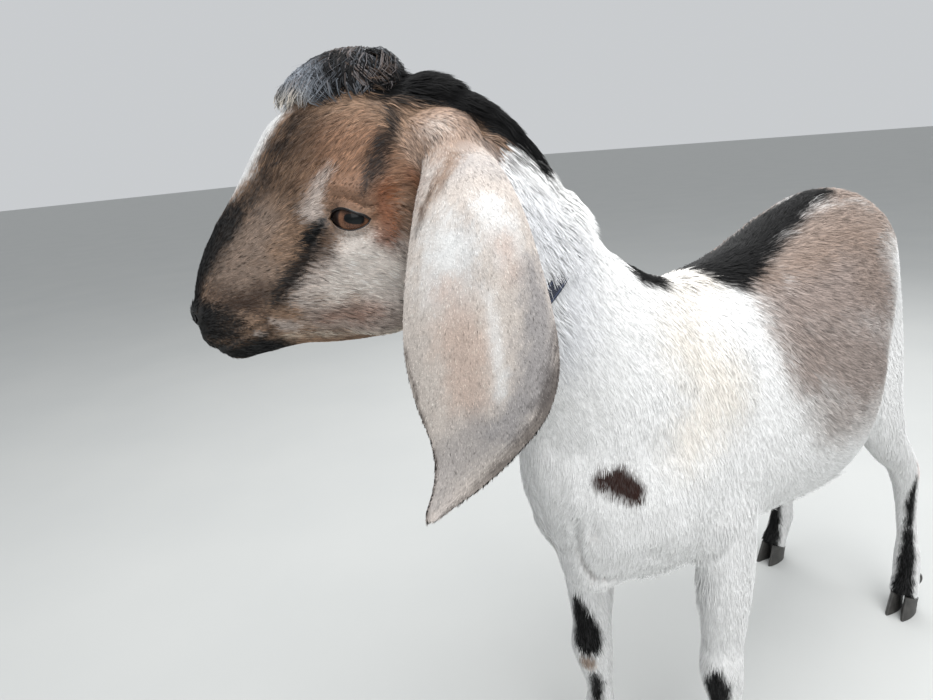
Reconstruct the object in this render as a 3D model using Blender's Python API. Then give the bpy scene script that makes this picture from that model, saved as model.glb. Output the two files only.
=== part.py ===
"""A young Nubian goat standing with its head turned to its right, life size.

Metres, +X the way the body faces, +Y its left, +Z up, the floor at z = 0.
The body is built whole from lofted masses, fused and smoothed, given the coat's
depth, and then parted into named nodes by cuts GAP wide.
"""
import math
import random

import bmesh
import bpy
import numpy as np
from mathutils import Matrix, Vector

# ---------------------------------------------------------------- driving sizes
GAP = 0.0003              # between two nodes that meet
TRUNK_VOXEL = 0.006       # grid on which trunk, neck and muscles are fused
TRUNK_TURNS = 34          # smoothing passes that melt them into one form
VOXEL = 0.0034            # grid on which legs and head are fused to it
TURNS = 9
HEAD_TRIANGLES = 1750     # left on the head after thinning
BODY_TRIANGLES = 2650     # left on the neck, trunk and legs
CENTRE = (0.0793, -0.0149)   # middle of the whole animal before it is centred

HEAD_POINT = Vector((0.385, -0.027, 0.655))   # middle of the head, under the eyes
HEAD_TURN = math.radians(-26)                 # the head looks to the goat's right
HEAD = Matrix.Translation(HEAD_POINT) @ Matrix.Rotation(HEAD_TURN, 4, 'Z')
MM = 0.001
SEED = 7

EYE = Vector((40, 35.5, -1)) * MM     # middle of the eyeball, in the head's own frame
EYE_RADIUS = 0.0135
LID = 0.0024                        # thickness of the lids over the eyeball
EYE_YAW = math.radians(62)          # how far the eye looks out to the side
FISSURE = (0.0158, 0.0075, 0.0062)  # half length, height above and below its line

EAR_ROOT = Vector((-32, 46, 27)) * MM
EAR_THICK = 0.0056
EAR_CUT = 0.051           # the ear's node starts this far out from the middle of the head
EAR_SPACE = [(-150, 80), (70, 80), (70, -260), (-150, -260)]
EAR_FOOT = [(-62, 62), (12, 62), (12, -10), (-62, -10)]
EAR_HANG = {1: (0.0, 0.0, 0.0), -1: (0.10, 0.22, 0.15)}   # swing back, yaw and tilt outwards

HOOF_TOE = 0.046          # heel to toe of one claw
CLAW_WIDTH = 0.0166
CLAW_SPREAD = 0.0092      # middle of a claw from the middle of the foot
CORONET = 0.0262          # height of the claw's top at the middle
CORONET_SLOPE = 0.42      # rise of the claw's top towards the toe

TOPKNOT = Vector((36, 0, 76)) * MM            # middle of the tuft's dome, in the head's frame
TOPKNOT_RADII = (0.047, 0.027, 0.0265)
TOPKNOT_LEAN = 0.32
TOPKNOT_ROWS = [(4, 6, 52), (28, 10, 54), (54, 13, 52)]   # start, locks, run in degrees
LOCK_WIDTH = 0.0076       # half width and half thickness of a lock at its widest
LOCK_THICK = 0.0022
LOCK_TAPER = (0.8, 1.0, 0.72)    # its width at the root, a third and two thirds of the way

TAIL_ROWS = [(-0.3375, 0.546, 4, 0.056), (-0.344, 0.522, 5, 0.058), (-0.348, 0.496, 5, 0.056),
             (-0.350, 0.470, 4, 0.047)]   # x, z, locks, length
TAIL_CUT = -0.329          # where the tail's node leaves the croup

COLLAR_WIDTH = 0.012
COLLAR_SIDES = 36
COLLAR_SUNK = 0.0012      # how deep the strap sits in the coat
COLLAR_PROUD = 0.0016

COLOURS = {
    'white_coat': (0.80, 0.77, 0.71),
    'tan_coat': (0.42, 0.29, 0.19),
    'black_coat': (0.035, 0.033, 0.036),
    'taupe_coat': (0.36, 0.31, 0.27),
    'ear_coat': (0.60, 0.54, 0.48),
    'eye': (0.19, 0.095, 0.045),
    'hoof': (0.045, 0.042, 0.043),
    'collar': (0.022, 0.028, 0.055),
}


COAT_OF = {'head': 'tan_coat', 'torso': 'taupe_coat', 'tail': 'black_coat',
           'ear_left': 'ear_coat', 'ear_right': 'ear_coat'}


# ---------------------------------------------------------------- small helpers
def clear_scene():
    for thing in list(bpy.data.objects):
        bpy.data.objects.remove(thing, do_unlink=True)


def add_object(name, points, faces):
    mesh = bpy.data.meshes.new(name)
    mesh.from_pydata([tuple(p) for p in points], [], faces)
    mesh.update()
    thing = bpy.data.objects.new(name, mesh)
    bpy.context.scene.collection.objects.link(thing)
    return thing


def give_material(thing, colour, roughness=0.8):
    shade = bpy.data.materials.get(colour)
    if shade is None:
        shade = bpy.data.materials.new(colour)
        shade.use_nodes = True
        socket = shade.node_tree.nodes['Principled BSDF'].inputs
        socket['Base Color'].default_value = (*COLOURS[colour], 1.0)
        socket['Roughness'].default_value = roughness
        socket['Metallic'].default_value = 0.0
    thing.data.materials.clear()
    thing.data.materials.append(shade)


def apply_modifiers(thing):
    """Replace an object's mesh by what its modifiers make of it."""
    graph = bpy.context.evaluated_depsgraph_get()
    result = bpy.data.meshes.new_from_object(thing.evaluated_get(graph))
    thing.modifiers.clear()
    thing.data = result


def remove(things):
    for thing in things:
        bpy.data.objects.remove(thing, do_unlink=True)


def spline(rows, steps):
    """Rows of numbers joined by a smooth curve, with steps rows to each span."""
    rows = np.array(rows, float)
    ends = np.vstack([2 * rows[0] - rows[1], rows, 2 * rows[-1] - rows[-2]])
    out = []
    for i in range(len(rows) - 1):
        a, b, c, d = ends[i:i + 4]
        for k in range(steps):
            t = k / steps
            out.append(0.5 * (2 * b + (c - a) * t + (2 * a - 5 * b + 4 * c - d) * t ** 2
                              + (3 * b - a - 3 * c + d) * t ** 3))
    out.append(rows[-1])
    return out


def loft(name, rings, tip=None):
    """A closed body through rings of equally many points, drawn out to a tip if one is given."""
    count = len(rings[0])
    points = [p for ring in rings for p in ring]
    faces = []
    for r in range(len(rings) - 1):
        for k in range(count):
            n = (k + 1) % count
            faces.append((r * count + k, r * count + n, (r + 1) * count + n, (r + 1) * count + k))
    first, last = len(points), len(points) + 1
    points.append(sum(rings[0], Vector()) / count)
    points.append(tip or sum(rings[-1], Vector()) / count)
    base = (len(rings) - 1) * count
    for k in range(count):
        n = (k + 1) % count
        faces.append((first, n, k))
        faces.append((last, base + k, base + n))
    thing = add_object(name, points, faces)
    point_outwards(thing)
    return thing


def point_outwards(thing):
    work = bmesh.new()
    work.from_mesh(thing.data)
    bmesh.ops.recalc_face_normals(work, faces=work.faces)
    if work.calc_volume(signed=True) < 0:
        bmesh.ops.reverse_faces(work, faces=work.faces)
    work.to_mesh(thing.data)
    work.free()


def section(top, bottom, side, widths, count=28):
    """A ring from top to bottom whose half widths are given at five heights."""
    waves = [sum(w * math.sin(k * (j + 1) * math.pi / 6) for j, w in enumerate(widths)) / 3
             for k in range(1, 6)]
    ring = []
    for i in range(count):
        turn = 2 * math.pi * i / count
        inner = turn if turn <= math.pi else 2 * math.pi - turn
        half = sum(a * math.sin(k * inner) for k, a in enumerate(waves, 1))
        sign = 1 if turn <= math.pi else -1
        ring.append(top.lerp(bottom, (1 - math.cos(turn)) / 2) + side * (sign * half))
    return ring


def trunk(name, rows, steps=4, frame=Matrix()):
    """A loft whose rows give top x y z, bottom x y z, turn of its side, five half widths."""
    rings = []
    for row in spline(rows, steps):
        side = Vector((-math.sin(row[6]), math.cos(row[6]), 0))
        rings.append([frame @ p for p in section(Vector(row[:3]), Vector(row[3:6]), side, row[7:12])])
    return loft(name, rings)


def limb(name, rows, steps=4, count=20, frame=Matrix()):
    """A loft along a path whose rows give x y z and half depth, half width."""
    rows = spline(rows, steps)
    rings = []
    for i, row in enumerate(rows):
        ahead = Vector(rows[min(i + 1, len(rows) - 1)][:3]) - Vector(rows[max(i - 1, 0)][:3])
        ahead.normalize()
        side = (Vector((0, 1, 0)) - ahead * ahead.y).normalized()
        deep = ahead.cross(side)
        ring = []
        for k in range(count):
            turn = 2 * math.pi * k / count
            ring.append(frame @ (Vector(row[:3]) + deep * (row[3] * math.cos(turn))
                                 + side * (row[4] * math.sin(turn))))
        rings.append(ring)
    return loft(name, rings)


def ball(name, centre, radii, tilt=0.0, turn=0.0, frame=Matrix(), segments=24):
    """An egg shape, tilted in the XZ plane and turned about Z."""
    work = bmesh.new()
    bmesh.ops.create_uvsphere(work, u_segments=segments, v_segments=segments // 2 + 1, radius=1.0)
    place = (frame @ Matrix.Translation(centre) @ Matrix.Rotation(turn, 4, 'Z')
             @ Matrix.Rotation(tilt, 4, 'Y') @ Matrix.Diagonal((*radii, 1)))
    bmesh.ops.transform(work, matrix=place, verts=work.verts)
    thing = add_object(name, [], [])
    work.to_mesh(thing.data)
    work.free()
    return thing


def join(name, things):
    """Put several closed meshes in one object, still as separate shells."""
    work = bmesh.new()
    for thing in things:
        work.from_mesh(thing.data)
    whole = add_object(name, [], [])
    work.to_mesh(whole.data)
    work.free()
    remove(things)
    return whole


def boolean(thing, tool, operation):
    """Combine two closed meshes. EXACT loses the curled ear, so MANIFOLD is used."""
    cut = thing.modifiers.new('cut', 'BOOLEAN')
    cut.operation = operation
    cut.solver = 'MANIFOLD'
    cut.object = tool
    apply_modifiers(thing)


def unite(thing, pieces):
    """Fuse closed pieces into an object with one Boolean union."""
    group = bpy.data.collections.new('pieces')
    bpy.context.scene.collection.children.link(group)
    for piece in pieces:
        bpy.context.scene.collection.objects.unlink(piece)
        group.objects.link(piece)
    cut = thing.modifiers.new('fuse', 'BOOLEAN')
    cut.operation = 'UNION'
    cut.solver = 'MANIFOLD'
    cut.operand_type = 'COLLECTION'
    cut.collection = group
    apply_modifiers(thing)
    remove(pieces)
    bpy.data.collections.remove(group)
    keep_largest(thing)


def keep_largest(thing):
    """Drop loose scraps and sealed hollows, and keep the outer closed surface."""
    work = bmesh.new()
    work.from_mesh(thing.data)
    left = set(work.verts)
    shells = []
    while left:
        shell, edge = set(), [left.pop()]
        while edge:
            vert = edge.pop()
            shell.add(vert)
            for link in vert.link_edges:
                other = link.other_vert(vert)
                if other in left:
                    left.discard(other)
                    edge.append(other)
        shells.append(shell)
    shells.sort(key=len, reverse=True)
    scraps = [v for shell in shells[1:] for v in shell]
    bmesh.ops.delete(work, geom=scraps, context='VERTS')
    bmesh.ops.triangulate(work, faces=work.faces)
    work.to_mesh(thing.data)
    work.free()


def duplicate(thing, name):
    other = bpy.data.objects.new(name, thing.data.copy())
    bpy.context.scene.collection.objects.link(other)
    return other


def part_off(body, name, volume):
    """Take the part of the body inside volume(0) as a node; the body keeps GAP to it."""
    node = duplicate(body, name)
    tool = volume(0.0)
    boolean(node, tool, 'INTERSECT')
    remove([tool])
    keep_largest(node)
    tool = volume(GAP)
    boolean(body, tool, 'DIFFERENCE')
    remove([tool])
    keep_largest(body)
    return node


def half_space(point, normal, reach=0.9):
    """A volume function: a block on the side of a plane that its normal points to."""
    def volume(grow):
        away = normal.normalized()
        frame = away.to_track_quat('Z', 'Y').to_matrix().to_4x4()
        work = bmesh.new()
        bmesh.ops.create_cube(work, size=1.0)
        place = (Matrix.Translation(point + away * (reach / 2 - grow)) @ frame
                 @ Matrix.Scale(reach, 4))
        bmesh.ops.transform(work, matrix=place, verts=work.verts)
        thing = add_object('block', [], [])
        work.to_mesh(thing.data)
        work.free()
        return thing
    return volume


def slice_of_head(side, near, far, outline):
    """A block between two distances from the middle of the head."""
    rings = []
    for out in (near, far):
        rings.append([HEAD @ Vector((x * MM, side * out, z * MM)) for x, z in outline])
    return loft('slice', rings)


# ---------------------------------------------------------------- trunk and neck
def trunk_row(x, top, bottom, half, shape, lean=0.0):
    return (x + lean, 0, top, x - lean, 0, bottom, 0.0, *[half * k for k in shape])


CHEST = (0.34, 0.72, 0.98, 0.95, 0.60)      # narrow withers, deep full ribs
BARREL = (0.50, 0.88, 1.05, 1.00, 0.62)
LOIN = (0.58, 0.95, 1.03, 0.88, 0.52)


def neck_rows():
    slim = (0.46, 0.84, 1.0, 0.88, 0.50)
    rows = [
        (0.095, 0, 0.520, 0.235, 0, 0.360, 0.0, 0.070),
        (0.120, 0, 0.556, 0.285, 0, 0.395, 0.0, 0.070),
        (0.160, 0, 0.572, 0.300, 0, 0.450, -0.03, 0.062),
        (0.208, 0.002, 0.598, 0.318, -0.004, 0.500, -0.14, 0.054),
        (0.250, 0.008, 0.638, 0.347, -0.012, 0.545, -0.30, 0.049),
        (0.294, 0.007, 0.681, 0.372, -0.022, 0.578, -0.42, 0.047),
        (0.334, -0.003, 0.715, 0.392, -0.030, 0.600, -0.45, 0.045),
    ]
    return [(*row[:7], *[row[7] * k for k in slim]) for row in rows]


def body_masses():
    """The trunk, the neck and the muscles that show on them."""
    rows = [
        trunk_row(0.304, 0.445, 0.385, 0.016, CHEST, 0.008),
        trunk_row(0.290, 0.480, 0.345, 0.036, CHEST, 0.012),
        trunk_row(0.256, 0.522, 0.306, 0.060, CHEST, 0.010),
        trunk_row(0.210, 0.545, 0.286, 0.076, CHEST),
        trunk_row(0.160, 0.556, 0.280, 0.084, CHEST),
        trunk_row(0.105, 0.562, 0.279, 0.087, CHEST),
        trunk_row(0.050, 0.561, 0.279, 0.091, BARREL),
        trunk_row(-0.010, 0.570, 0.272, 0.096, BARREL),
        trunk_row(-0.070, 0.588, 0.264, 0.098, BARREL),
        trunk_row(-0.125, 0.603, 0.258, 0.095, BARREL),
        trunk_row(-0.170, 0.610, 0.276, 0.087, BARREL),
        trunk_row(-0.215, 0.606, 0.336, 0.078, LOIN),
        trunk_row(-0.260, 0.592, 0.385, 0.062, LOIN),
        trunk_row(-0.297, 0.570, 0.420, 0.047, LOIN),
        trunk_row(-0.320, 0.548, 0.445, 0.026, LOIN),
    ]
    parts = [trunk('trunk', rows)]
    parts.append(trunk('neck', neck_rows()))
    for side in (1, -1):
        parts += [
            ball('shoulder', (0.130, side * 0.042, 0.428), (0.072, 0.042, 0.108), -0.28),
            ball('shoulder_point', (0.196, side * 0.044, 0.368), (0.046, 0.036, 0.054), 0.2),
            ball('arm', (0.122, side * 0.058, 0.345), (0.056, 0.030, 0.064), 0.5),
            ball('hip', (-0.180, side * 0.041, 0.540), (0.062, 0.036, 0.038), 0.2),
            ball('haunch', (-0.226, side * 0.040, 0.462), (0.072, 0.034, 0.100), 0.25),
            ball('stifle', (-0.190, side * 0.060, 0.356), (0.038, 0.024, 0.048), -0.3),
            ball('pin', (-0.292, side * 0.030, 0.500), (0.034, 0.022, 0.046), 0.1),
        ]
    parts.append(ball('brisket', (0.244, 0.006, 0.322), (0.034, 0.032, 0.036)))
    return parts


# ---------------------------------------------------------------- legs
def ease(value):
    value = min(max(value, 0.0), 1.0)
    return value * value * (3 - 2 * value)


def foreleg_rows(side, forward, spread):
    """Left leg as measured; forward moves the foot ahead and spread out sideways."""
    rows = [
        (0.140, 0.050, 0.430, 0.042, 0.026),
        (0.124, 0.058, 0.365, 0.043, 0.028),
        (0.116, 0.061, 0.315, 0.039, 0.027),
        (0.115, 0.062, 0.265, 0.0340, 0.0250),
        (0.115, 0.061, 0.215, 0.0270, 0.0225),
        (0.116, 0.060, 0.188, 0.0235, 0.0210),
        (0.118, 0.060, 0.162, 0.0245, 0.0222),
        (0.114, 0.060, 0.136, 0.0215, 0.0205),
        (0.109, 0.060, 0.105, 0.0160, 0.0160),
        (0.108, 0.060, 0.084, 0.0158, 0.0160),
        (0.109, 0.060, 0.066, 0.0188, 0.0190),
        (0.116, 0.060, 0.047, 0.0172, 0.0188),
        (0.127, 0.060, 0.030, 0.0186, 0.0194),
        (0.133, 0.060, 0.010, 0.0184, 0.0192),
    ]
    out = []
    for x, y, z, deep, wide in rows:
        share = ease((0.40 - z) / 0.16)
        out.append((x + forward * share, side * (y + spread * share), z, deep, wide))
    return out


def hindleg_rows(side, forward, spread):
    rows = [
        (-0.236, 0.040, 0.470, 0.066, 0.030),
        (-0.232, 0.047, 0.410, 0.062, 0.032),
        (-0.228, 0.055, 0.360, 0.054, 0.030),
        (-0.240, 0.062, 0.315, 0.040, 0.0255),
        (-0.268, 0.065, 0.275, 0.0290, 0.0205),
        (-0.302, 0.066, 0.243, 0.0230, 0.0175),
        (-0.327, 0.067, 0.212, 0.0235, 0.0178),
        (-0.335, 0.068, 0.180, 0.0180, 0.0155),
        (-0.338, 0.070, 0.145, 0.0140, 0.0138),
        (-0.340, 0.073, 0.108, 0.0142, 0.0142),
        (-0.341, 0.075, 0.076, 0.0182, 0.0182),
        (-0.337, 0.077, 0.052, 0.0168, 0.0184),
        (-0.328, 0.079, 0.031, 0.0182, 0.0192),
        (-0.323, 0.080, 0.010, 0.0180, 0.0190),
    ]
    out = []
    for x, y, z, deep, wide in rows:
        share = ease((0.40 - z) / 0.36)
        out.append((x + forward * share, side * (y + spread * share), z, deep, wide))
    return out


FOOTING = {                       # side, forward, spread
    'foreleg_left': (foreleg_rows, 1, 0.0, 0.0),
    'foreleg_right': (foreleg_rows, -1, 0.062, -0.002),
    'hindleg_left': (hindleg_rows, 1, 0.0, 0.0),
    'hindleg_right': (hindleg_rows, -1, -0.004, 0.036),
}


def leg_column(name):
    """A volume function: the space that a leg's node is cut from, a blunt column."""
    rows_of, side, forward, spread = FOOTING[name]
    rows = rows_of(side, forward, spread)
    fore = name.startswith('fore')

    def volume(grow):
        if fore:
            top = [(0.136, 0.060, 0.372, 0.012, 0.010), (0.132, 0.062, 0.366, 0.030, 0.028),
                   (0.125, 0.064, 0.345, 0.046, 0.040), (0.116, 0.066, 0.300, 0.052, 0.044)]
            high = 0.29
            wide = 0.060
        else:
            top = [(-0.236, 0.070, 0.456, 0.014, 0.012), (-0.238, 0.071, 0.448, 0.050, 0.036),
                   (-0.240, 0.074, 0.420, 0.083, 0.056), (-0.240, 0.077, 0.365, 0.098, 0.066),
                   (-0.252, 0.080, 0.310, 0.090, 0.068)]
            high = 0.29
            wide = 0.075
        path = [(x, side * y, z, a + grow, b + grow) for x, y, z, a, b in top]
        path[0] = (*path[0][:2], path[0][2] + grow, *path[0][3:])
        low = [row for row in rows if row[2] < high]
        for x, y, z, deep, across in low[::3] + [low[-1]]:
            path.append((x, y, z, wide + grow, 0.046 + grow))
        path[-1] = (*path[-1][:2], -0.05, *path[-1][3:])
        rings = []
        for x, y, z, a, b in path:
            rings.append([Vector((x + a * math.cos(t), y + b * math.sin(t), z))
                          for t in [2 * math.pi * k / 24 for k in range(24)]])
        return loft('column', rings)
    return volume


def foot_place(leg):
    rows_of, side, forward, spread = FOOTING[leg]
    return rows_of(side, forward, spread)[-1][:2], side


def trim_foot(node, leg):
    """Cut the leg off along the sloping top of its claws."""
    (x, y), side = foot_place(leg)
    tool = half_space(Vector((x, y, CORONET)), Vector((CORONET_SLOPE, 0, -1)), 0.2)(0.0)
    boolean(node, tool, 'DIFFERENCE')
    remove([tool])
    keep_largest(node)


def claw(name, leg, outer):
    """One claw of a cloven foot: flat sole, pointed toe, sloping top."""
    foot, side = foot_place(leg)
    outer *= side
    count = 14
    rings = []
    for level in (0.0, 0.0014, 0.5, 1.0):
        height = level
        ring = []
        for k in range(count):
            t = 2 * math.pi * k / count
            ahead = math.cos(t)
            across = math.sin(t) * (1 - 0.22 * ahead - 0.16 * ahead * ahead)
            long_half = (HOOF_TOE / 2) * (1 - 0.26 * height)
            x = long_half * ahead + 0.004 - 0.0085 * height
            y = CLAW_WIDTH / 2 * (1 - 0.05 * height) * across
            if y * outer < 0:
                y *= 0.82
            y += outer * (CLAW_SPREAD - 0.0008 + 0.0014 * (1 - height) * max(ahead, 0))
            top = CORONET - GAP + CORONET_SLOPE * x
            z = top * height if level != 0.0014 else 0.0014
            inset = 0.0006 if level == 0.0 else 0.0
            ring.append(Vector((x - inset * ahead, y - inset * math.sin(t), z)))
        rings.append(ring)
    thing = loft(name, rings)
    thing.data.transform(Matrix.Translation((foot[0], foot[1], 0)))
    give_material(thing, 'hoof', 0.55)
    return thing


# ---------------------------------------------------------------- locks of hair
def lock(name, path, outwards, width, thick):
    """A flat tapered lock along a path; outwards(point) is the way its flat side faces."""
    rings = []
    for j, place in enumerate(path[:-1]):
        along = (path[j + 1] - path[max(j - 1, 0)]).normalized()
        across = along.cross(outwards(place)).normalized()
        up = across.cross(along)
        share = LOCK_TAPER[j]
        rings.append([place + across * (width * share), place + up * (thick * share),
                      place - across * (width * share), place - up * (thick * share)])
    return loft(name, rings, path[-1])


# ---------------------------------------------------------------- head
def head_masses():
    """Skull, muzzle, jaw and cheeks, in the head's own frame in millimetres."""
    def row(top, bottom, *widths):
        return (top[0] * MM, 0, top[1] * MM, bottom[0] * MM, 0, bottom[1] * MM, 0.0,
                *[w * MM for w in widths])
    rows = [
        row((-52, 52), (-14, -66), 18, 30, 34, 32, 18),
        row((-34, 68), (-2, -80), 22, 36, 41, 38, 22),
        row((-6, 77), (12, -88), 24, 40, 44, 41, 24),
        row((28, 80), (33, -90), 25, 40, 45, 41, 24),
        row((58, 76), (54, -90), 23, 37, 43, 40, 23),
        row((82, 62), (70, -89), 20, 31, 38, 38, 21),
        row((97, 44), (82, -88), 18, 27, 33, 34, 19),
        row((113, 20), (96, -89), 17, 25, 29, 29, 17),
        row((130, -2), (108, -91), 16, 24, 27, 26, 15),
        row((142, -22), (120, -92), 15, 23, 26, 24, 13),
        row((149, -42), (131, -90), 13, 21, 24, 21, 12),
        row((151, -58), (140, -84), 8, 14, 16, 14, 8),
    ]
    parts = [trunk('skull', rows, frame=HEAD)]
    for side in (1, -1):
        def egg(name, centre, radii, tilt=0.0, turn=0.0):
            place = Vector((centre[0], side * centre[1], centre[2])) * MM
            return ball(name, place, [r * MM for r in radii], tilt, side * turn, HEAD)
        parts += [
            egg('brow', (37, 36, 12), (27, 14, 13), 0.35, -0.1),
            egg('orbit', (34, 34, -9), (27, 15, 17), 0.2, -0.2),
            egg('cheekbone', (46, 36, -24), (30, 11, 10), 0.35, -0.15),
            egg('jaw', (22, 28, -60), (36, 13, 24), 0.2),
            egg('ear_base', (-30, 40, 24), (25, 21, 23)),
            egg('wing', (143, 15, -52), (10, 9, 12), -0.2, -0.3),
            egg('upper_lip', (138, 15, -68), (14, 9, 8), 0.5, -0.3),
            egg('lids', [v / MM for v in EYE], [(EYE_RADIUS + LID) / MM] * 3),
        ]
    parts.append(ball('chin', Vector((122, 0, -84)) * MM, (0.016, 0.014, 0.009), 0.2, 0, HEAD))
    return parts


def topknot_place(out, turn, reach):
    """A point on the topknot's dome, out degrees from its whorl and turned about it."""
    whorl = Vector((-0.62, 0, 0.78))
    across = Vector((0, 1, 0))
    ahead = across.cross(whorl)
    out, turn = math.radians(out), math.radians(turn)
    way = whorl * math.cos(out) + (ahead * math.cos(turn) + across * math.sin(turn)) * math.sin(out)
    lean = Matrix.Rotation(TOPKNOT_LEAN, 3, 'Y')
    return HEAD @ (TOPKNOT + lean @ Vector([w * r * reach for w, r in zip(way, TOPKNOT_RADII)]))


def topknot_core():
    """The dense hair near the skin, under half as high as the locks on it."""
    radii = [r * share for r, share in zip(TOPKNOT_RADII, (0.80, 0.78, 0.56))]
    return ball('core', TOPKNOT, radii, TOPKNOT_LEAN, 0, HEAD)


def topknot_locks(rng):
    """Flat locks that start at the whorl and lie forward and down over each other."""
    things = []
    for row, (out, count, run) in enumerate(TOPKNOT_ROWS):
        for k in range(count):
            turn = 360 * (k + 0.5 * (row % 2)) / count + rng.uniform(-5, 5)
            rim = 58 + 54 * abs(math.cos(math.radians(turn / 2)))
            length = min(run * rng.uniform(0.85, 1.1), rim - out)
            swirl = rng.uniform(-14, 14)
            if length < 14:
                continue
            path = []
            for j, reach in enumerate((0.48, 0.90, 0.98, 1.0 + rng.uniform(-0.03, 0.04))):
                t = j / 3
                path.append(topknot_place(out + length * t, turn + swirl * t * t, reach))
            middle = HEAD @ TOPKNOT
            wide = LOCK_WIDTH * (1 + 0.35 * math.cos(math.radians(turn)) ** 2)
            things.append(lock('lock', path, lambda p: p - middle, wide, LOCK_THICK))
    return things


def crest_form():
    """The upright hair along the nape as one smooth ridge."""
    rows = [(4, 0, 76, 11, 13), (-28, 0, 70, 12, 15), (-58, -1, 55, 13, 15), (-84, -6, 31, 12, 14),
            (-110, -15, 4, 9, 12), (-138, -30, -24, 5, 8)]
    return [limb('crest', [[n * MM for n in row] for row in rows], frame=HEAD)]


def eye_frame(side):
    """Eye looking along its own +X, with its line of lids along its own -Y or +Y."""
    place = Vector((EYE.x, side * EYE.y, EYE.z))
    return (HEAD @ Matrix.Translation(place) @ Matrix.Rotation(side * EYE_YAW, 4, 'Z')
            @ Matrix.Rotation(math.radians(-6), 4, 'Y'))


def side_name(side):
    return 'left' if side > 0 else 'right'


def icosphere(name, side, radius):
    work = bmesh.new()
    bmesh.ops.create_icosphere(work, subdivisions=3, radius=radius)
    bmesh.ops.transform(work, matrix=eye_frame(side), verts=work.verts)
    thing = add_object(name, [], [])
    work.to_mesh(thing.data)
    work.free()
    return thing


def eyeball(side):
    thing = icosphere(f'eye_{side_name(side)}', side, EYE_RADIUS)
    give_material(thing, 'eye', 0.2)
    return thing


def eye_cutters(side):
    """The socket round the eyeball and the almond opening between the lids."""
    socket = icosphere('socket', side, EYE_RADIUS + GAP)
    half, above, below = FISSURE
    rings = []
    for reach, flare in ((0.55 * EYE_RADIUS, 0.5), (EYE_RADIUS + 0.02, 1.35)):
        ring = []
        for k in range(24):
            t = 2 * math.pi * k / 24
            high = above if math.sin(t) > 0 else below
            across = half * math.cos(t)
            rise = high * math.copysign(abs(math.sin(t)) ** 1.25, math.sin(t))
            ring.append(eye_frame(side) @ Vector((reach, side * across * flare, rise * flare)))
        rings.append(ring)
    return [socket, loft('fissure', rings)]


def nostril_cutter(side):
    """A comma-shaped slit that runs up and back into the muzzle."""
    rings = []
    for k in range(7):
        t = k / 6
        size = (0.0052, 0.0042, 0.0036, 0.0032, 0.0030, 0.0028, 0.0020)[k] * 0.8
        middle = Vector((154 - 16 * t - 5 * t * t, side * (21 - 13 * t), -58 + 13 * t)) * MM
        ring = []
        for j in range(12):
            a = 2 * math.pi * j / 12
            ring.append(HEAD @ (middle + Vector((size * 0.6 * math.sin(a), size * 0.55 * math.cos(a) * side,
                                                 size * 1.7 * math.sin(a)))))
        rings.append(ring)
    return loft('nostril', rings)


def carve_head(head):
    """Lids over the eyes, sockets, the line of the mouth and the nostrils."""
    for side in (1, -1):
        unite(head, [icosphere('lid', side, EYE_RADIUS + LID)])
        for tool in eye_cutters(side) + [nostril_cutter(side)]:
            boolean(head, tool, 'DIFFERENCE')
            remove([tool])
    tool = mouth_cutter()
    boolean(head, tool, 'DIFFERENCE')
    remove([tool])
    keep_largest(head)


MOUTH = [                       # corner to lip: forward, up and half width of the muzzle, mm
    (104, -62, 27.0), (112, -68, 26.5), (122, -72, 25.0), (131, -76, 21.0), (138, -79, 15.0),
    (143, -80, 8.0), (145, -81, 0.0)]


def mouth_cutter():
    """A thin blade that follows the line of the mouth round the muzzle."""
    side_rows = spline(MOUTH, 2)
    path = [Vector((r[0], r[2], r[1])) for r in side_rows]
    path += [Vector((p.x, -p.y, p.z)) for p in reversed(path[:-1])]
    inner = []
    for p in path:
        pull = Vector((p.x - 96, p.y * 1.5, 0)).normalized()
        inner.append(p - pull * 4.5)
    rings = []
    for k, (far, near) in enumerate(zip(path, inner)):
        out = (far - near).normalized() * 16
        half = 0.9 * min(1.0, 0.35 + 0.33 * min(k, len(path) - 1 - k))
        lift = Vector((0, 0, half))
        rings.append([HEAD @ (q * MM) for q in (near + lift * 0.3, far + out + lift * 2.2,
                                                far + out - lift * 2.2, near - lift * 0.3)])
    return loft('mouth', rings)


# ---------------------------------------------------------------- ears
EAR_ROWS = [       # along the ear: front x, front z, rear x, rear z, out, curl, depth in mm
    (-12, 36, -46, 36, 40, 1.45, 15),
    (-4, 22, -54, 22, 54, 1.35, 17),
    (6, -2, -63, -2, 66, 1.05, 17),
    (14, -30, -69, -28, 72, 0.80, 15),
    (20, -60, -75, -58, 74, 0.62, 13),
    (22, -90, -80, -90, 73, 0.52, 12),
    (18, -122, -80, -120, 71, 0.46, 10),
    (11, -150, -70, -148, 69, 0.40, 7),
    (10, -170, -50, -170, 68, 0.30, 3),
    (14, -187, -26, -188, 69, 0.25, -1),
    (20, -200, 0, -201, 71, 0.22, -1),
    (20, -207, 13, -207, 72, 0.20, -0.4),
]


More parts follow.
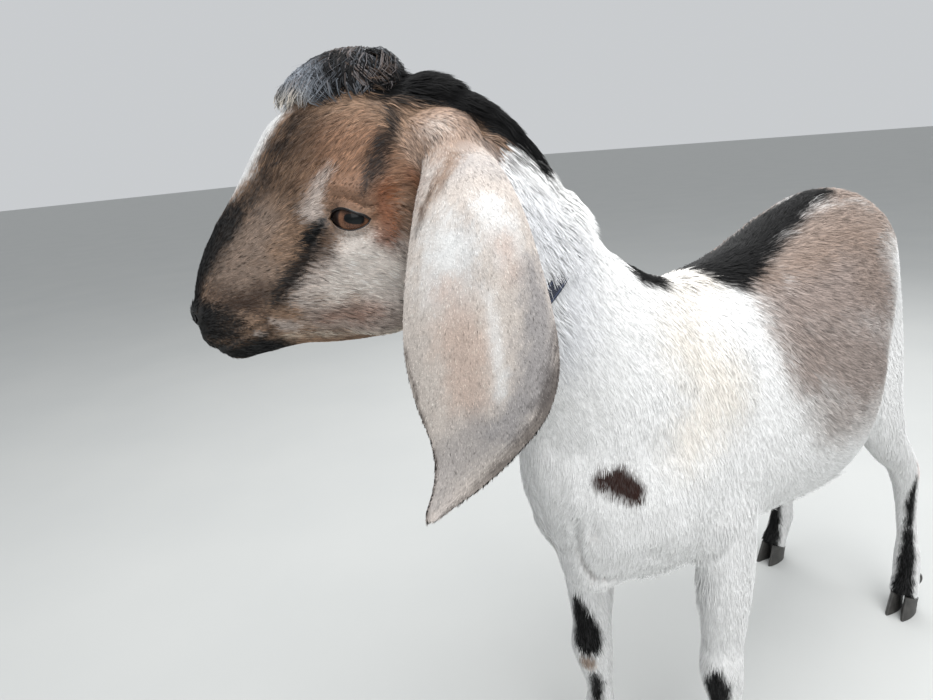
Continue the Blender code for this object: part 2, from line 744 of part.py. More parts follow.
def ear(side):
    """A long hanging leaf: curled to a cup at its root, flared at its tip."""
    half_count = 4
    rings = []
    rows = spline(EAR_ROWS, 2)
    for i, row in enumerate(rows):
        front = Vector((row[0], row[4], row[1])) * MM
        rear = Vector((row[2], row[4], row[3])) * MM
        middle = (front + rear) / 2
        across = (front - rear) / 2
        out = Vector((0, 1, 0))
        curl, depth = row[5], row[6] * MM
        taper = min(1.0, 0.45 + 0.09 * (len(rows) - 1 - i))
        outer, inner = [], []
        for k in range(-half_count, half_count + 1):
            s = k / half_count
            along = math.sin(curl * s) / math.sin(max(curl, 1e-3)) if curl < 1.5 else s
            bow = (math.cos(curl * s) - math.cos(curl)) / (1 - math.cos(curl))
            ridge = 0.0014 * math.exp(-(s / 0.16) ** 2) * min(1.0, i / 3)
            thick = EAR_THICK * taper * (1 - 0.55 * s * s)
            centre = middle + across * along + out * (depth * bow)
            lean = (out * math.cos(curl * s) + across.normalized() * math.sin(curl * s)).normalized()
            outer.append(centre + lean * (thick / 2 + ridge))
            inner.append(centre - lean * (thick / 2))
        rings.append(outer + inner[::-1])
    swing, yaw, tilt = EAR_HANG[side]
    hang = (Matrix.Translation(EAR_ROOT) @ Matrix.Rotation(tilt, 4, 'X') @ Matrix.Rotation(swing, 4, 'Y')
            @ Matrix.Rotation(yaw, 4, 'Z') @ Matrix.Translation(-EAR_ROOT))
    mirror = HEAD @ Matrix.Diagonal((1, side, 1, 1)) @ hang
    return loft('ear_left' if side > 0 else 'ear_right', [[mirror @ p for p in ring] for ring in rings])


def ear_plug(side):
    """The gristle that fills the ear's curled root and carries it on the skull."""
    place = Vector((EAR_ROOT.x, side * EAR_ROOT.y, EAR_ROOT.z))
    return ball('plug', place, (0.021, 0.018, 0.022), 0.0, 0.0, HEAD, 14)


def hang_ear(goat, side):
    """Give the head the inner part of an ear's root, and return the rest as a node."""
    node = ear(side)
    unite(node, [ear_plug(side)])
    root = duplicate(node, 'root')
    for thing, near, far in ((node, EAR_CUT, 0.2), (root, 0.0, EAR_CUT - GAP)):
        tool = slice_of_head(side, near, far, EAR_SPACE)
        boolean(thing, tool, 'INTERSECT')
        remove([tool])
        keep_largest(thing)
    tool = slice_of_head(side, EAR_CUT - GAP, 0.12, EAR_FOOT)
    boolean(goat, tool, 'DIFFERENCE')
    remove([tool])
    unite(goat, [root])
    return node


# ---------------------------------------------------------------- tail and collar
def tail_form():
    rows = [
        (-0.272, 0.0, 0.566, 0.018, 0.019),
        (-0.306, 0.0, 0.561, 0.0160, 0.018),
        (-0.334, 0.001, 0.545, 0.0110, 0.014),
        (-0.346, 0.002, 0.516, 0.0085, 0.011),
        (-0.350, 0.003, 0.486, 0.0070, 0.009),
        (-0.351, 0.004, 0.464, 0.0050, 0.007),
        (-0.351, 0.004, 0.450, 0.0025, 0.003),
    ]
    return limb('tail', rows, 2, 12)


def tail_locks(rng):
    """Locks along the dock that spread to both sides and hang past its tip."""
    things = []
    for x, z, count, length in TAIL_ROWS:
        for k in range(count):
            side = (2 * k / (count - 1) - 1) * 1.25 + rng.uniform(-0.08, 0.08)
            spread = math.sin(side)
            back = math.cos(side)
            run = length * rng.uniform(0.85, 1.1)
            start = z + rng.uniform(-0.004, 0.004)
            sunk = rng.uniform(0.0, 0.0025)
            path = []
            for j in range(4):
                t = j / 3
                swell = math.sin(math.pi / 2 * min(1.0, 0.2 + 0.95 * t))
                path.append(Vector((x + sunk - 0.004 * back - 0.014 * back * swell - 0.004 * t,
                                    0.003 + spread * (0.004 + (0.019 - 0.007 * t) * swell),
                                    start - run * t + 0.004 * back)))
            things.append(lock('lock', path, lambda p, s=spread, b=back: Vector((-b - 0.2, s, 0.1)),
                               LOCK_WIDTH, LOCK_THICK))
    return things


def hang_tail(goat):
    """Root the tail in the croup, and return what hangs behind it as a node."""
    node = tail_form()
    root = part_off(node, 'root', half_space(Vector((TAIL_CUT, 0, 0.55)), Vector((1, 0, 0))))
    unite(goat, [root])
    node.name = 'tail'
    return node


COLLAR_ROW = 4                   # the row of the neck that the collar lies on


def collar_ring(outer, inner, half_width):
    """A strap round the neck, between two offsets of the neck's outline."""
    row = neck_rows()[COLLAR_ROW]
    top, bottom = Vector(row[:3]), Vector(row[3:6])
    side = Vector((-math.sin(row[6]), math.cos(row[6]), 0))
    outline = section(top, bottom, side, row[7:12], COLLAR_SIDES)
    along = side.cross(top - bottom).normalized()
    points = []
    for k, place in enumerate(outline):
        run = outline[(k + 1) % COLLAR_SIDES] - outline[k - 1]
        out = run.cross(along).normalized()
        if out.dot(place - (top + bottom) / 2) < 0:
            out.negate()
        for depth, edge in ((outer, 1), (outer, -1), (inner, -1), (inner, 1)):
            points.append(place + out * depth + along * (edge * half_width))
    faces = []
    for r in range(COLLAR_SIDES):
        for k in range(4):
            a, b = r * 4 + k, r * 4 + (k + 1) % 4
            faces.append((a, b, (b + 4) % len(points), (a + 4) % len(points)))
    thing = add_object('collar', points, faces)
    point_outwards(thing)
    return thing


def put_on_collar(neck):
    """Press a groove round the neck and lay the strap in it."""
    half = COLLAR_WIDTH / 2
    tool = collar_ring(0.03, -COLLAR_SUNK - GAP, half + GAP)
    boolean(neck, tool, 'DIFFERENCE')
    remove([tool])
    keep_largest(neck)
    strap = collar_ring(COLLAR_PROUD, -COLLAR_SUNK, half)
    give_material(strap, 'collar', 0.6)
    return strap


# ---------------------------------------------------------------- fusing and thinning
def fuse(name, masses, voxel, turns):
    """One skin over closed masses: a voxel grid, then smoothing."""
    whole = join(name, masses)
    grid = whole.modifiers.new('grid', 'REMESH')
    grid.mode = 'VOXEL'
    grid.voxel_size = voxel
    soft = whole.modifiers.new('soft', 'SMOOTH')
    soft.factor = 0.5
    soft.iterations = turns
    apply_modifiers(whole)
    keep_largest(whole)
    return whole


def in_head(place):
    """Whether a point lies on the head, ahead of the slanted plane where the neck begins."""
    place = HEAD.inverted() @ place
    return place.x > -0.055 - 0.2 * place.z and place.z > -0.12


def thin(whole):
    """Fewer triangles, with more of them kept on the head."""
    bpy.context.view_layer.objects.active = whole
    for wanted, budget in ((True, HEAD_TRIANGLES), (False, BODY_TRIANGLES)):
        mesh = whole.data
        bpy.ops.object.mode_set(mode='EDIT')
        bpy.ops.mesh.select_mode(type='FACE')
        bpy.ops.mesh.select_all(action='DESELECT')
        bpy.ops.object.mode_set(mode='OBJECT')
        count = 0
        for face in mesh.polygons:
            if in_head(face.center) == wanted:
                face.select = True
                count += len(face.vertices) - 2
                for index in face.vertices:
                    mesh.vertices[index].select = True
        bpy.ops.object.mode_set(mode='EDIT')
        bpy.ops.mesh.decimate(ratio=budget / count)
        bpy.ops.object.mode_set(mode='OBJECT')


# ---------------------------------------------------------------- the goat
def build():
    clear_scene()
    masses = [fuse('body', body_masses(), TRUNK_VOXEL, TRUNK_TURNS)]
    masses += head_masses() + [topknot_core()] + crest_form()
    for name, (rows_of, side, forward, spread) in FOOTING.items():
        masses.append(limb(name, rows_of(side, forward, spread)))
    goat = fuse('goat', masses, VOXEL, TURNS)
    thin(goat)
    nodes = {'tail': hang_tail(goat)}
    for side, name in ((1, 'ear_left'), (-1, 'ear_right')):
        nodes[name] = hang_ear(goat, side)
    to_world = HEAD.to_3x3()
    nodes['head'] = part_off(goat, 'head', half_space(HEAD @ Vector((-0.048, 0, -0.020)),
                                                      to_world @ Vector((0.946, 0, 0.325))))
    for name in FOOTING:
        nodes[name] = part_off(goat, name, leg_column(name))
    nodes['neck'] = part_off(goat, 'neck', half_space(Vector((0.222, 0, 0.508)),
                                                      Vector((0.63, 0, 0.776))))
    goat.name = 'torso'
    nodes['torso'] = goat
    carve_head(nodes['head'])
    rng = random.Random(SEED)
    unite(nodes['head'], topknot_locks(rng))
    unite(nodes['tail'], tail_locks(rng))
    for side in (1, -1):
        nodes[f'eye_{side_name(side)}'] = eyeball(side)
    for name in FOOTING:
        for outer, edge in ((1, 'outer'), (-1, 'inner')):
            node = f'claw_{name.replace("leg_", "_")}_{edge}'
            nodes[node] = claw(node, name, outer)
        trim_foot(nodes[name], name)
    nodes['collar'] = put_on_collar(nodes['neck'])
    for name, node in nodes.items():
        if not node.data.materials:
            give_material(node, COAT_OF.get(name, 'white_coat'))
        node.data.transform(Matrix.Translation((-CENTRE[0], -CENTRE[1], 0)))


if __name__ == '__main__':
    build()
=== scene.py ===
"""A young Nubian goat that stands still: skin, coat, eyes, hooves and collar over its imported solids."""
import math

import bmesh
import bpy
import numpy as np
from mathutils import Matrix, Vector, kdtree


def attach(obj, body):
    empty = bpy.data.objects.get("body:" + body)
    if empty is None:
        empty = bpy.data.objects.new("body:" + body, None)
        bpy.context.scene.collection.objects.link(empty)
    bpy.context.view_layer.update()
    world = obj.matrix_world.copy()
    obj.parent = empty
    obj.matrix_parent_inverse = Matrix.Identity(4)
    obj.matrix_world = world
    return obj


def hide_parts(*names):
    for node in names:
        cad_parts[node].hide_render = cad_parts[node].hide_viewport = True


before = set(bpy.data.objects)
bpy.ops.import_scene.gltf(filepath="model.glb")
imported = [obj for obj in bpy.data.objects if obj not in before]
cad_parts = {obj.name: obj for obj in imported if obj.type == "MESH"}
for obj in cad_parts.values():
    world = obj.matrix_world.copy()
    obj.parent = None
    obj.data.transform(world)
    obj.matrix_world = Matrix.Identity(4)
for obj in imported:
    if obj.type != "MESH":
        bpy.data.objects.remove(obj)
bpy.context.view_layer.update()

MM = 0.001
CENTRE = Vector((0.0793, -0.0149, 0))            # middle of the animal before it was centred
MIDLINE = -CENTRE.y / MM                         # middle of the trunk, across, mm
HEAD_PLACE, HEAD_TURN = Vector((0.385, -0.027, 0.655)), math.radians(-26)
HEAD = Matrix.Translation(HEAD_PLACE - CENTRE) @ Matrix.Rotation(HEAD_TURN, 4, 'Z')
EYE = Vector((40, 35.5, -1)) * MM                # middle of the left eyeball, in the head's own frame
EYE_RADIUS, LID = 0.0135, 0.0024                 # LID is the flesh over the ball
BALL = EYE_RADIUS / MM
EYE_YAW, EYE_PITCH = math.radians(62), math.radians(-6)
EAR_ROOT = Vector((-32, 46, 27)) * MM
EAR_HANG = {1: (0.0, 0.0, 0.0), -1: (0.10, 0.22, 0.15)}   # of each side: swing back, yaw and tilt outwards
SKIN_VOXEL = 0.0026
TRUNK_SHARE = 0.30           # of the trunk's and legs' faces that are kept
SIDES = (1, -1)              # left and right
NODES = ('torso', 'neck', 'head', 'foreleg_left', 'foreleg_right', 'hindleg_left', 'hindleg_right',
         'ear_left', 'ear_right', 'tail')
TORSO, NECK, SKULL, TAIL = 0, 1, 2, 9            # numbers of places in NODES
FORELEGS, HINDLEGS, EARS = (3, 4), (5, 6), (7, 8)
LEGS = FORELEGS + HINDLEGS
FLESH = ('torso', 'neck', 'foreleg_left', 'foreleg_right', 'hindleg_left', 'hindleg_right')
SEED, LATTICE_SEED = 11, 3
FAR = 1e9


# ---------------------------------------------------------------- small helpers
def colour(code):
    """An sRGB hex colour as linear red, green, blue."""
    values = [int(code[k:k + 2], 16) / 255 for k in (1, 3, 5)]
    return np.array([v / 12.92 if v <= 0.04045 else ((v + 0.055) / 1.055) ** 2.4 for v in values])


def read_rows(parts, key, width, kind=float):
    """One property of all the parts of a mesh, a row for each part."""
    flat = np.empty(len(parts) * width, kind)
    parts.foreach_get(key, flat)
    return flat.reshape(-1, width)


def lengths(rows):
    return np.linalg.norm(rows, axis=1)


def points_of(thing):
    return read_rows(thing.data.vertices, 'co', 3)


def normals_of(thing):
    return read_rows(thing.data.vertex_normals, 'vector', 3, np.float32).astype(float)


def edges_of(thing):
    return read_rows(thing.data.edges, 'vertices', 2, int)


def put_points(thing, points):
    thing.data.vertices.foreach_set('co', np.ascontiguousarray(points, float).ravel())
    thing.data.update()


def into(points, matrix):
    """World points in a frame of their own, in millimetres."""
    m = np.array(matrix.inverted())
    return (points @ m[:3, :3].T + m[:3, 3]) / MM


def out_of(points, matrix):
    """Millimetres in a frame of their own as world points."""
    m = np.array(matrix)
    return (points * MM) @ m[:3, :3].T + m[:3, 3]


def turn_with(vectors, matrix):
    return vectors @ np.array(matrix)[:3, :3].T


def side_signs(points):
    """Factors that bring points of the right side over to the left one, and back."""
    return np.where(points[:, 1:2] < 0, [1, -1, 1], [1, 1, 1])


def unit(vectors):
    size = np.linalg.norm(vectors, axis=-1, keepdims=True)
    return vectors / np.maximum(size, 1e-12)


def ramp(value, low, high):
    """0 below low, 1 above high, and smooth between them."""
    t = np.clip((value - low) / (high - low), 0, 1)
    return t * t * (3 - 2 * t)


def hill(value, top, half):
    """A smooth hill, 1 high at its top and this wide to each side."""
    return np.exp(-((value - top) / half) ** 2)


CELLS = 32
LATTICE = np.random.default_rng(LATTICE_SEED).uniform(-1, 1, (CELLS, CELLS, CELLS))


def mottle(points, size):
    """Smooth noise from -1 to 1, with lumps of this size."""
    place = points / size
    cell = np.floor(place).astype(int)
    t = place - cell
    t = t * t * (3 - 2 * t)
    total = np.zeros(len(points))
    for corner in range(8):
        step = np.array([corner & 1, corner >> 1 & 1, corner >> 2 & 1])
        share = np.prod(np.where(step == 1, t, 1 - t), axis=1)
        at = (cell + step) % CELLS
        total += share * LATTICE[at[:, 0], at[:, 1], at[:, 2]]
    return total


def tree_of(points):
    """A tree that finds the point nearest to a place."""
    tree = kdtree.KDTree(len(points))
    for k, p in enumerate(points):
        tree.insert(p, k)
    tree.balance()
    return tree


def nearest(tree, points):
    return [tree.find(p)[1] for p in points]


def pick(*things):
    bpy.ops.object.select_all(action='DESELECT')
    for thing in things:
        thing.select_set(True)
    bpy.context.view_layer.objects.active = things[0]


def work_all_over(thing, operator, **settings):
    """Run an edit mode operator on the whole of a piece."""
    pick(thing)
    bpy.ops.object.mode_set(mode='EDIT')
    bpy.ops.mesh.select_all(action='SELECT')
    operator(**settings)
    bpy.ops.object.mode_set(mode='OBJECT')


def smooth(thing):
    pick(thing)
    bpy.ops.object.shade_smooth()


def piece_of(name, mesh):
    thing = bpy.data.objects.new(name, mesh)
    bpy.context.scene.collection.objects.link(thing)
    return thing


def new_piece(name, points, faces):
    """A piece whose faces point outwards."""
    mesh = bpy.data.meshes.new(name)
    mesh.from_pydata([tuple(p) for p in points], [], [tuple(f) for f in faces])
    thing = piece_of(name, mesh)
    work_all_over(thing, bpy.ops.mesh.normals_make_consistent, inside=False)
    return thing


def joined(name, things):
    pick(*things)
    bpy.ops.object.join()
    things[0].name = name
    return things[0]


def finish_modifiers(thing):
    pick(thing)
    for modifier in list(thing.modifiers):
        bpy.ops.object.modifier_apply(modifier=modifier.name)


def cut(body, tool, operation):
    """A Boolean between closed meshes that uses the tool up."""
    modifier = body.modifiers.new('cut', 'BOOLEAN')
    modifier.operation = operation
    modifier.solver = 'MANIFOLD'
    modifier.object = tool
    finish_modifiers(body)
    bpy.data.objects.remove(tool)


def copy_of(name):
    """A node as a new piece, with its loose triangles merged."""
    thing = piece_of('copy_' + name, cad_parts[name].data.copy())
    work_all_over(thing, bpy.ops.mesh.remove_doubles, threshold=0.000001)
    return thing


def spline(rows, steps):
    """Catmull-Rom rows between the given rows."""
    rows = np.array(rows, float)
    padded = np.vstack([2 * rows[0] - rows[1], rows, 2 * rows[-1] - rows[-2]])
    made = []
    for k in range(len(rows) - 1):
        a, b, c, d = padded[k:k + 4]
        for j in range(steps):
            t = j / steps
            made.append(0.5 * (2 * b + (c - a) * t + (2 * a - 5 * b + 4 * c - d) * t * t
                               + (3 * b - a - 3 * c + d) * t ** 3))
    made.append(rows[-1])
    return np.array(made)


def ring_angles(count):
    """The angles of points spread evenly round a ring."""
    return [2 * math.pi * j / count for j in range(count)]


def loft(name, rings):
    """A closed piece through rings of equal count, capped at both ends."""
    count = len(rings[0])
    points = [p for ring in rings for p in ring]
    faces = [tuple(range(count))[::-1], tuple(range(len(points) - count, len(points)))]
    for r in range(len(rings) - 1):
        for k in range(count):
            a, b = r * count + k, r * count + (k + 1) % count
            faces.append((a, b, b + count, a + count))
    return new_piece(name, points, faces)


def eye_frame(side):
    """The eyeball's frame: +X looks out, +Z up, and side times Y runs to the outer corner."""
    return (HEAD @ Matrix.Translation(Vector((EYE.x, side * EYE.y, EYE.z)))
            @ Matrix.Rotation(side * EYE_YAW, 4, 'Z') @ Matrix.Rotation(EYE_PITCH, 4, 'Y'))


def side_word(side):
    return 'left' if side > 0 else 'right'


def ear_frame(side):
    """The head's frame for the left ear, and for the right one mirrored and hung as that ear hangs."""
    swing, yaw, tilt = EAR_HANG[side]
    hang = (Matrix.Translation(EAR_ROOT) @ Matrix.Rotation(tilt, 4, 'X') @ Matrix.Rotation(swing, 4, 'Y')
            @ Matrix.Rotation(yaw, 4, 'Z') @ Matrix.Translation(-EAR_ROOT))
    return HEAD @ Matrix.Diagonal((1, side, 1, 1)) @ hang


# ---------------------------------------------------------------- the skin's form
TOPKNOT = Vector((36, 0, 76)) * MM               # middle of the topknot's dome, in the head's frame
TOPKNOT_LEAN = 0.32
SKULL_ROWS = [      # top x z, bottom x z, half widths at five heights, mm
    (-34, 68, -2, -80, 22, 36, 41, 38, 22), (-6, 77, 12, -88, 24, 40, 44, 41, 24),
    (28, 80, 33, -90, 25, 40, 45, 41, 24), (58, 76, 54, -90, 23, 37, 43, 40, 23),
    (82, 62, 70, -89, 20, 31, 38, 38, 21), (97, 44, 82, -88, 18, 27, 33, 34, 19),
    (113, 20, 96, -89, 17, 25, 29, 29, 17), (130, -2, 108, -91, 16, 24, 27, 26, 15)]
SKULL_SIDES = 48


def egg(name, centre, radii, lean, frame_of):
    """A closed egg, with its centre and radii in mm in a frame of its own."""
    bpy.ops.mesh.primitive_uv_sphere_add(segments=48, ring_count=24, radius=1)
    thing = bpy.context.object
    thing.name = name
    thing.data.transform(frame_of @ Matrix.Translation(Vector(centre) * MM)
                         @ Matrix.Rotation(lean, 4, 'Y') @ Matrix.Diagonal((*(Vector(radii) * MM), 1)))
    return thing


def skull():
    """The bare skull under the topknot. Each ring is a smooth curve through its five half widths."""
    rings = []
    for top_x, top_z, low_x, low_z, *halves in spline(SKULL_ROWS, 5):
        waves = [sum(w * math.sin(k * (j + 1) * math.pi / 6) for j, w in enumerate(halves)) / 3
                 for k in range(1, 6)]
        ring = []
        for turn in ring_angles(SKULL_SIDES):
            inner = min(turn, 2 * math.pi - turn)
            half = sum(a * math.sin(k * inner) for k, a in enumerate(waves, 1))
            share = (1 - math.cos(turn)) / 2
            place = Vector((top_x + (low_x - top_x) * share, math.copysign(half, math.pi - turn),
                            top_z + (low_z - top_z) * share))
            ring.append(HEAD @ (place * MM))
        rings.append(ring)
    return loft('skull', rings)


def bare_head():
    """The head without the topknot's locks: their room is cut away and the skull put back."""
    head = copy_of('head')
    cut(head, egg('room', (42, 0, 92), (64, 62, 52), TOPKNOT_LEAN, HEAD), 'DIFFERENCE')
    made = [head, skull(), egg('cap', (36, 0, 74), (41, 24, 16), TOPKNOT_LEAN, HEAD),
            egg('poll', (-16, 0, 73), (30, 18, 12), 0.0, HEAD)]
    for side in SIDES:
        made.append(egg('gristle', (-24, side * 33, 40), (28, 24, 22), 0.0, HEAD))
    return made


DOCK_ROWS = [       # x, y, z, half depth and half width, mm, before the animal was centred
    (-272, 0.0, 566, 15, 16), (-306, 0.0, 561, 13, 15), (-334, 1, 545, 9, 11), (-346, 2, 516, 7, 9),
    (-349, 3, 486, 5.5, 7.5), (-350, 4, 464, 4, 6), (-350, 4, 452, 2, 3)]
RING_SIDES = 16


def tail_dock():
    """The fleshy root of the tail, which bends down and tapers."""
    rows = spline(DOCK_ROWS, 4)
    rings = []
    side = Vector((0, 1, 0))
    for k, row in enumerate(rows):
        along = Vector(rows[min(k + 1, len(rows) - 1)][:3] - rows[max(k - 1, 0)][:3]).normalized()
        up = along.cross(side).normalized()
        rings.append([Vector(row[:3]) * MM - CENTRE + up * (row[3] * MM * math.sin(t))
                      + side * (row[4] * MM * math.cos(t)) for t in ring_angles(RING_SIDES)])
    return loft('dock', rings)


def eye_fill(side):
    """A ball that fills the eye's place, so that the lids have flesh to be shaped from."""
    bpy.ops.mesh.primitive_ico_sphere_add(subdivisions=4, radius=EYE_RADIUS + LID)
    thing = bpy.context.object
    thing.data.transform(eye_frame(side))
    return thing


def neighbour_mean(values, pairs, counts):
    """The mean of each vertex's neighbours, for columns of values."""
    ends = np.concatenate([pairs[:, 0], pairs[:, 1]])
    other = np.concatenate([pairs[:, 1], pairs[:, 0]])
    made = np.empty_like(values)
    for k in range(values.shape[1]):
        made[:, k] = np.bincount(ends, weights=values[other, k], minlength=len(values))
    return made / np.maximum(counts, 1)[:, None]


def iron(points, pairs, weight, turns):
    """Smoothing that keeps the volume, stronger where weight is higher."""
    counts = np.bincount(pairs.ravel(), minlength=len(points))
    share = weight[:, None]
    for _ in range(turns):
        for step in (0.55, -0.575):
            points = points + share * step * (neighbour_mean(points, pairs, counts) - points)
    return points


def blend_out(values, pairs, turns):
    """Let values run into their neighbours."""
    counts = np.bincount(pairs.ravel(), minlength=len(values))
    for _ in range(turns):
        values = 0.4 * values + 0.6 * neighbour_mean(values, pairs, counts)
    return values


def refine(thing, matrix, middle, radius):
    """Split the faces inside a ball, with its middle and radius in mm in a frame of its own."""
    inside = lengths(into(points_of(thing), matrix) - np.array(middle)) < radius
    work = bmesh.new()
    work.from_mesh(thing.data)
    work.verts.ensure_lookup_table()
    edges = [e for e in work.edges if inside[e.verts[0].index] and inside[e.verts[1].index]]
    bmesh.ops.subdivide_edges(work, edges=edges, cuts=1, use_grid_fill=True, smooth=0.0)
    work.to_mesh(thing.data)
    work.free()
    thing.data.update()


CAD_GAP = 0.0003             # between nodes that touch, closed before they are melted together


def flesh_form():
    """Trunk, neck, head, legs and dock melted into one even grid, with their facets ironed out."""
    copies = [copy_of(name) for name in FLESH]
    for thing in copies:
        work_all_over(thing, bpy.ops.transform.shrink_fatten, value=CAD_GAP)
    skin = joined('skin', copies + bare_head() + [eye_fill(1), eye_fill(-1), tail_dock()])
    grid = skin.modifiers.new('grid', 'REMESH')
    grid.mode = 'VOXEL'
    grid.voxel_size = SKIN_VOXEL
    finish_modifiers(skin)
    pairs = edges_of(skin)
    points = points_of(skin)
    local = into(points, HEAD)
    on_head = ramp(local[:, 0], -95, -40) * ramp(local[:, 2], -140, -105)
    low = 1 - ramp(points[:, 2], 0.04, 0.11)
    points = iron(points, pairs, np.ones(len(points)), 16)
    points = iron(points, pairs, (1 - 0.93 * on_head) * (1 - 0.75 * low), 90)
    put_points(skin, points)
    thin_trunk(skin)
    points, pairs = points_of(skin), edges_of(skin)
    local = into(points, HEAD)
    on_head = ramp(local[:, 0], -110, -60) * ramp(local[:, 2], -150, -112)
    put_points(skin, iron(points, pairs, (1 - on_head) * ramp(points[:, 2], 0.05, 0.26), 110))
    return skin


def thin_trunk(skin):
    """Fewer faces behind the head, where the form is plain."""
    local = into(points_of(skin), HEAD)
    plain = (local[:, 0] < -75) | (local[:, 2] < -112)
    pick(skin)
    bpy.ops.object.mode_set(mode='EDIT')
    bpy.ops.mesh.select_all(action='DESELECT')
    bpy.ops.object.mode_set(mode='OBJECT')
    skin.data.vertices.foreach_set('select', plain)
    bpy.ops.object.mode_set(mode='EDIT')
    bpy.ops.mesh.select_mode(type='VERT')
    bpy.ops.mesh.decimate(ratio=TRUNK_SHARE)
    bpy.ops.object.mode_set(mode='OBJECT')


# ---------------------------------------------------------------- eyes, mouth and nostrils
INNER_CORNER, OUTER_CORNER = (-12.6, -0.8), (12.8, -2.6)      # across and up in the eye's frame, mm
UPPER_LID = [INNER_CORNER, (-10.6, 1.7), (-7.6, 3.6), (-4.0, 4.6), (-0.6, 4.6), (3.0, 3.5), (7.0, 1.6),
             (10.6, 0.0), OUTER_CORNER]
LOWER_LID = [OUTER_CORNER, (11.4, -5.2), (8.4, -7.4), (4.4, -8.5), (0.6, -8.4), (-3.0, -7.4), (-6.6, -5.8),
             (-10.2, -3.4), INNER_CORNER]


def lid_outline(steps=4):
    """The edge of the opened eye as a closed ring of across and up."""
    upper, lower = spline(UPPER_LID, steps), spline(LOWER_LID, steps)
    return np.vstack([upper[:-1], lower[:-1]])


def on_ball(flat, radius):
    """Across and up on the eyeball, as points at this distance from its middle, mm."""
    depth = np.sqrt(np.maximum(BALL * BALL - (flat ** 2).sum(1), 4.0))
    return unit(np.column_stack([depth, flat])) * radius


def unrolled(ways):
    """Directions from the eyeball's middle laid flat, so that gaps are true along its surface, mm."""
    size = lengths(ways[:, 1:])
    angle = np.arctan2(size, ways[:, 0])
    return ways[:, 1:] * (BALL * angle / np.maximum(size, 1e-9))[:, None]


def outline_gap(flat, outline):
    """Distance to a closed outline, below zero inside it, and whether its upper side is nearer."""
    best = np.full(len(flat), FAR)
    inside = np.zeros(len(flat), bool)
    upper = np.zeros(len(flat), bool)
    count = len(outline)
    for k in range(count):
        a, b = outline[k], outline[(k + 1) % count]
        run = b - a
        t = np.clip(((flat - a) @ run) / (run @ run), 0, 1)
        gap = lengths(flat - a - t[:, None] * run)
        upper = np.where(gap < best, k < count / 2, upper)
        best = np.minimum(best, gap)
        crosses = (a[1] > flat[:, 1]) != (b[1] > flat[:, 1])
        with np.errstate(divide='ignore', invalid='ignore'):
            at = (b[0] - a[0]) * (flat[:, 1] - a[1]) / (b[1] - a[1]) + a[0]
        inside ^= crosses & (flat[:, 0] < at)
    return np.where(inside, -best, best), upper


def wrap_lids(points, side):
    """Lids that hug the eyeball, with a deep fold over the upper one and a fine one under the lower."""
    local = into(points, eye_frame(side))
    reach = lengths(local)
    near = (reach < 34) & (local[:, 0] > -3)
    q = local[near]
    flat = unrolled(q) * [side, 1]
    gap, upper = outline_gap(flat, unrolled(on_ball(lid_outline(), BALL)))
    size = reach[near]
    hug = BALL + 1.5 + 0.75 * ramp(gap, 0, 4)
    share = (1 - ramp(gap, 1.5, np.where(upper, 9.0, 7.0))) * (1 - ramp(size - hug, 5.0, 12.0))
    share *= ramp(q[:, 0], -3.0, 2.5)
    made = size * (1 - share) + hug * share
    across = ramp(flat[:, 0], -18, -9) * (1 - ramp(flat[:, 0], 12, 18))
    fold = np.where(upper, 5.6, 3.6)
    deep = np.where(upper, 1.5, 0.6) * across
    made -= deep * hill(gap, fold, 0.85)
    made += 0.7 * across * hill(gap - fold, 2.6, 1.7) * upper
    local[near] = unit(q) * made[:, None]
    return out_of(local, eye_frame(side))


TEAR_PATH = np.array([(54.5, 42.5, -3.5), (59, 42.5, -5), (66, 40.5, -10), (72, 39, -18)])


def tear_groove(points, normals, side):
    """The dark furrow that leaves the inner corner of the eye and fades down the cheek."""
    gap, along = path_gap(into(points, HEAD), TEAR_PATH * [1, side, 1])
    depth = 1.3 * hill(gap, 0, 1.5) * (1 - 0.7 * along)
    return points - normals * (depth * MM)[:, None]


def eye_cutter(side):
    """A plug from inside the eyeball out between the lids, straight out in the inner corner."""
    outline = lid_outline()
    lean = ramp(-outline[:, 0], 3, 11)[:, None]
    away = unit(unit(on_ball(outline, BALL)) * (1 - lean) + np.array([1.0, 0, 0]) * lean)
    rings = []
    for reach, share, out in ((0.55, 0.15, 0), (0.62, 0.7, 0), (0.66, 1.0, 0), (1.0, 1.0, 0), (1.0, 1.0, 9.0),
                              (1.0, 0.7, 9.5), (1.0, 0.15, 10.0)):
        ring = (on_ball(outline * share, reach * EYE_RADIUS / MM) + away * out) * [1, side, 1]
        rings.append([Vector(p) for p in out_of(ring, eye_frame(side))])
    return loft('opening', rings)


def socket(side):
    """The room for an eyeball."""
    bpy.ops.mesh.primitive_uv_sphere_add(segments=48, ring_count=24, radius=EYE_RADIUS + CAD_GAP)
    thing = bpy.context.object
    thing.data.transform(eye_frame(side))
    return thing


MOUTH = [(103, -61, 27.5), (108, -65.5, 27.2), (115, -69.5, 26.4), (123, -72.5, 24.6), (131, -76, 20.6),
         (138, -79, 15.0), (143, -80.5, 8.0), (145, -81, 0.0)]     # corner to lip: x, z and half width, mm


def mouth_line():
    """The line of the mouth round the muzzle, from the right corner to the left one."""
    side = spline(MOUTH, 4)
    left = np.column_stack([side[:, 0], side[:, 2], side[:, 1]])
    return np.vstack([left * [1, -1, 1], left[::-1][1:]])


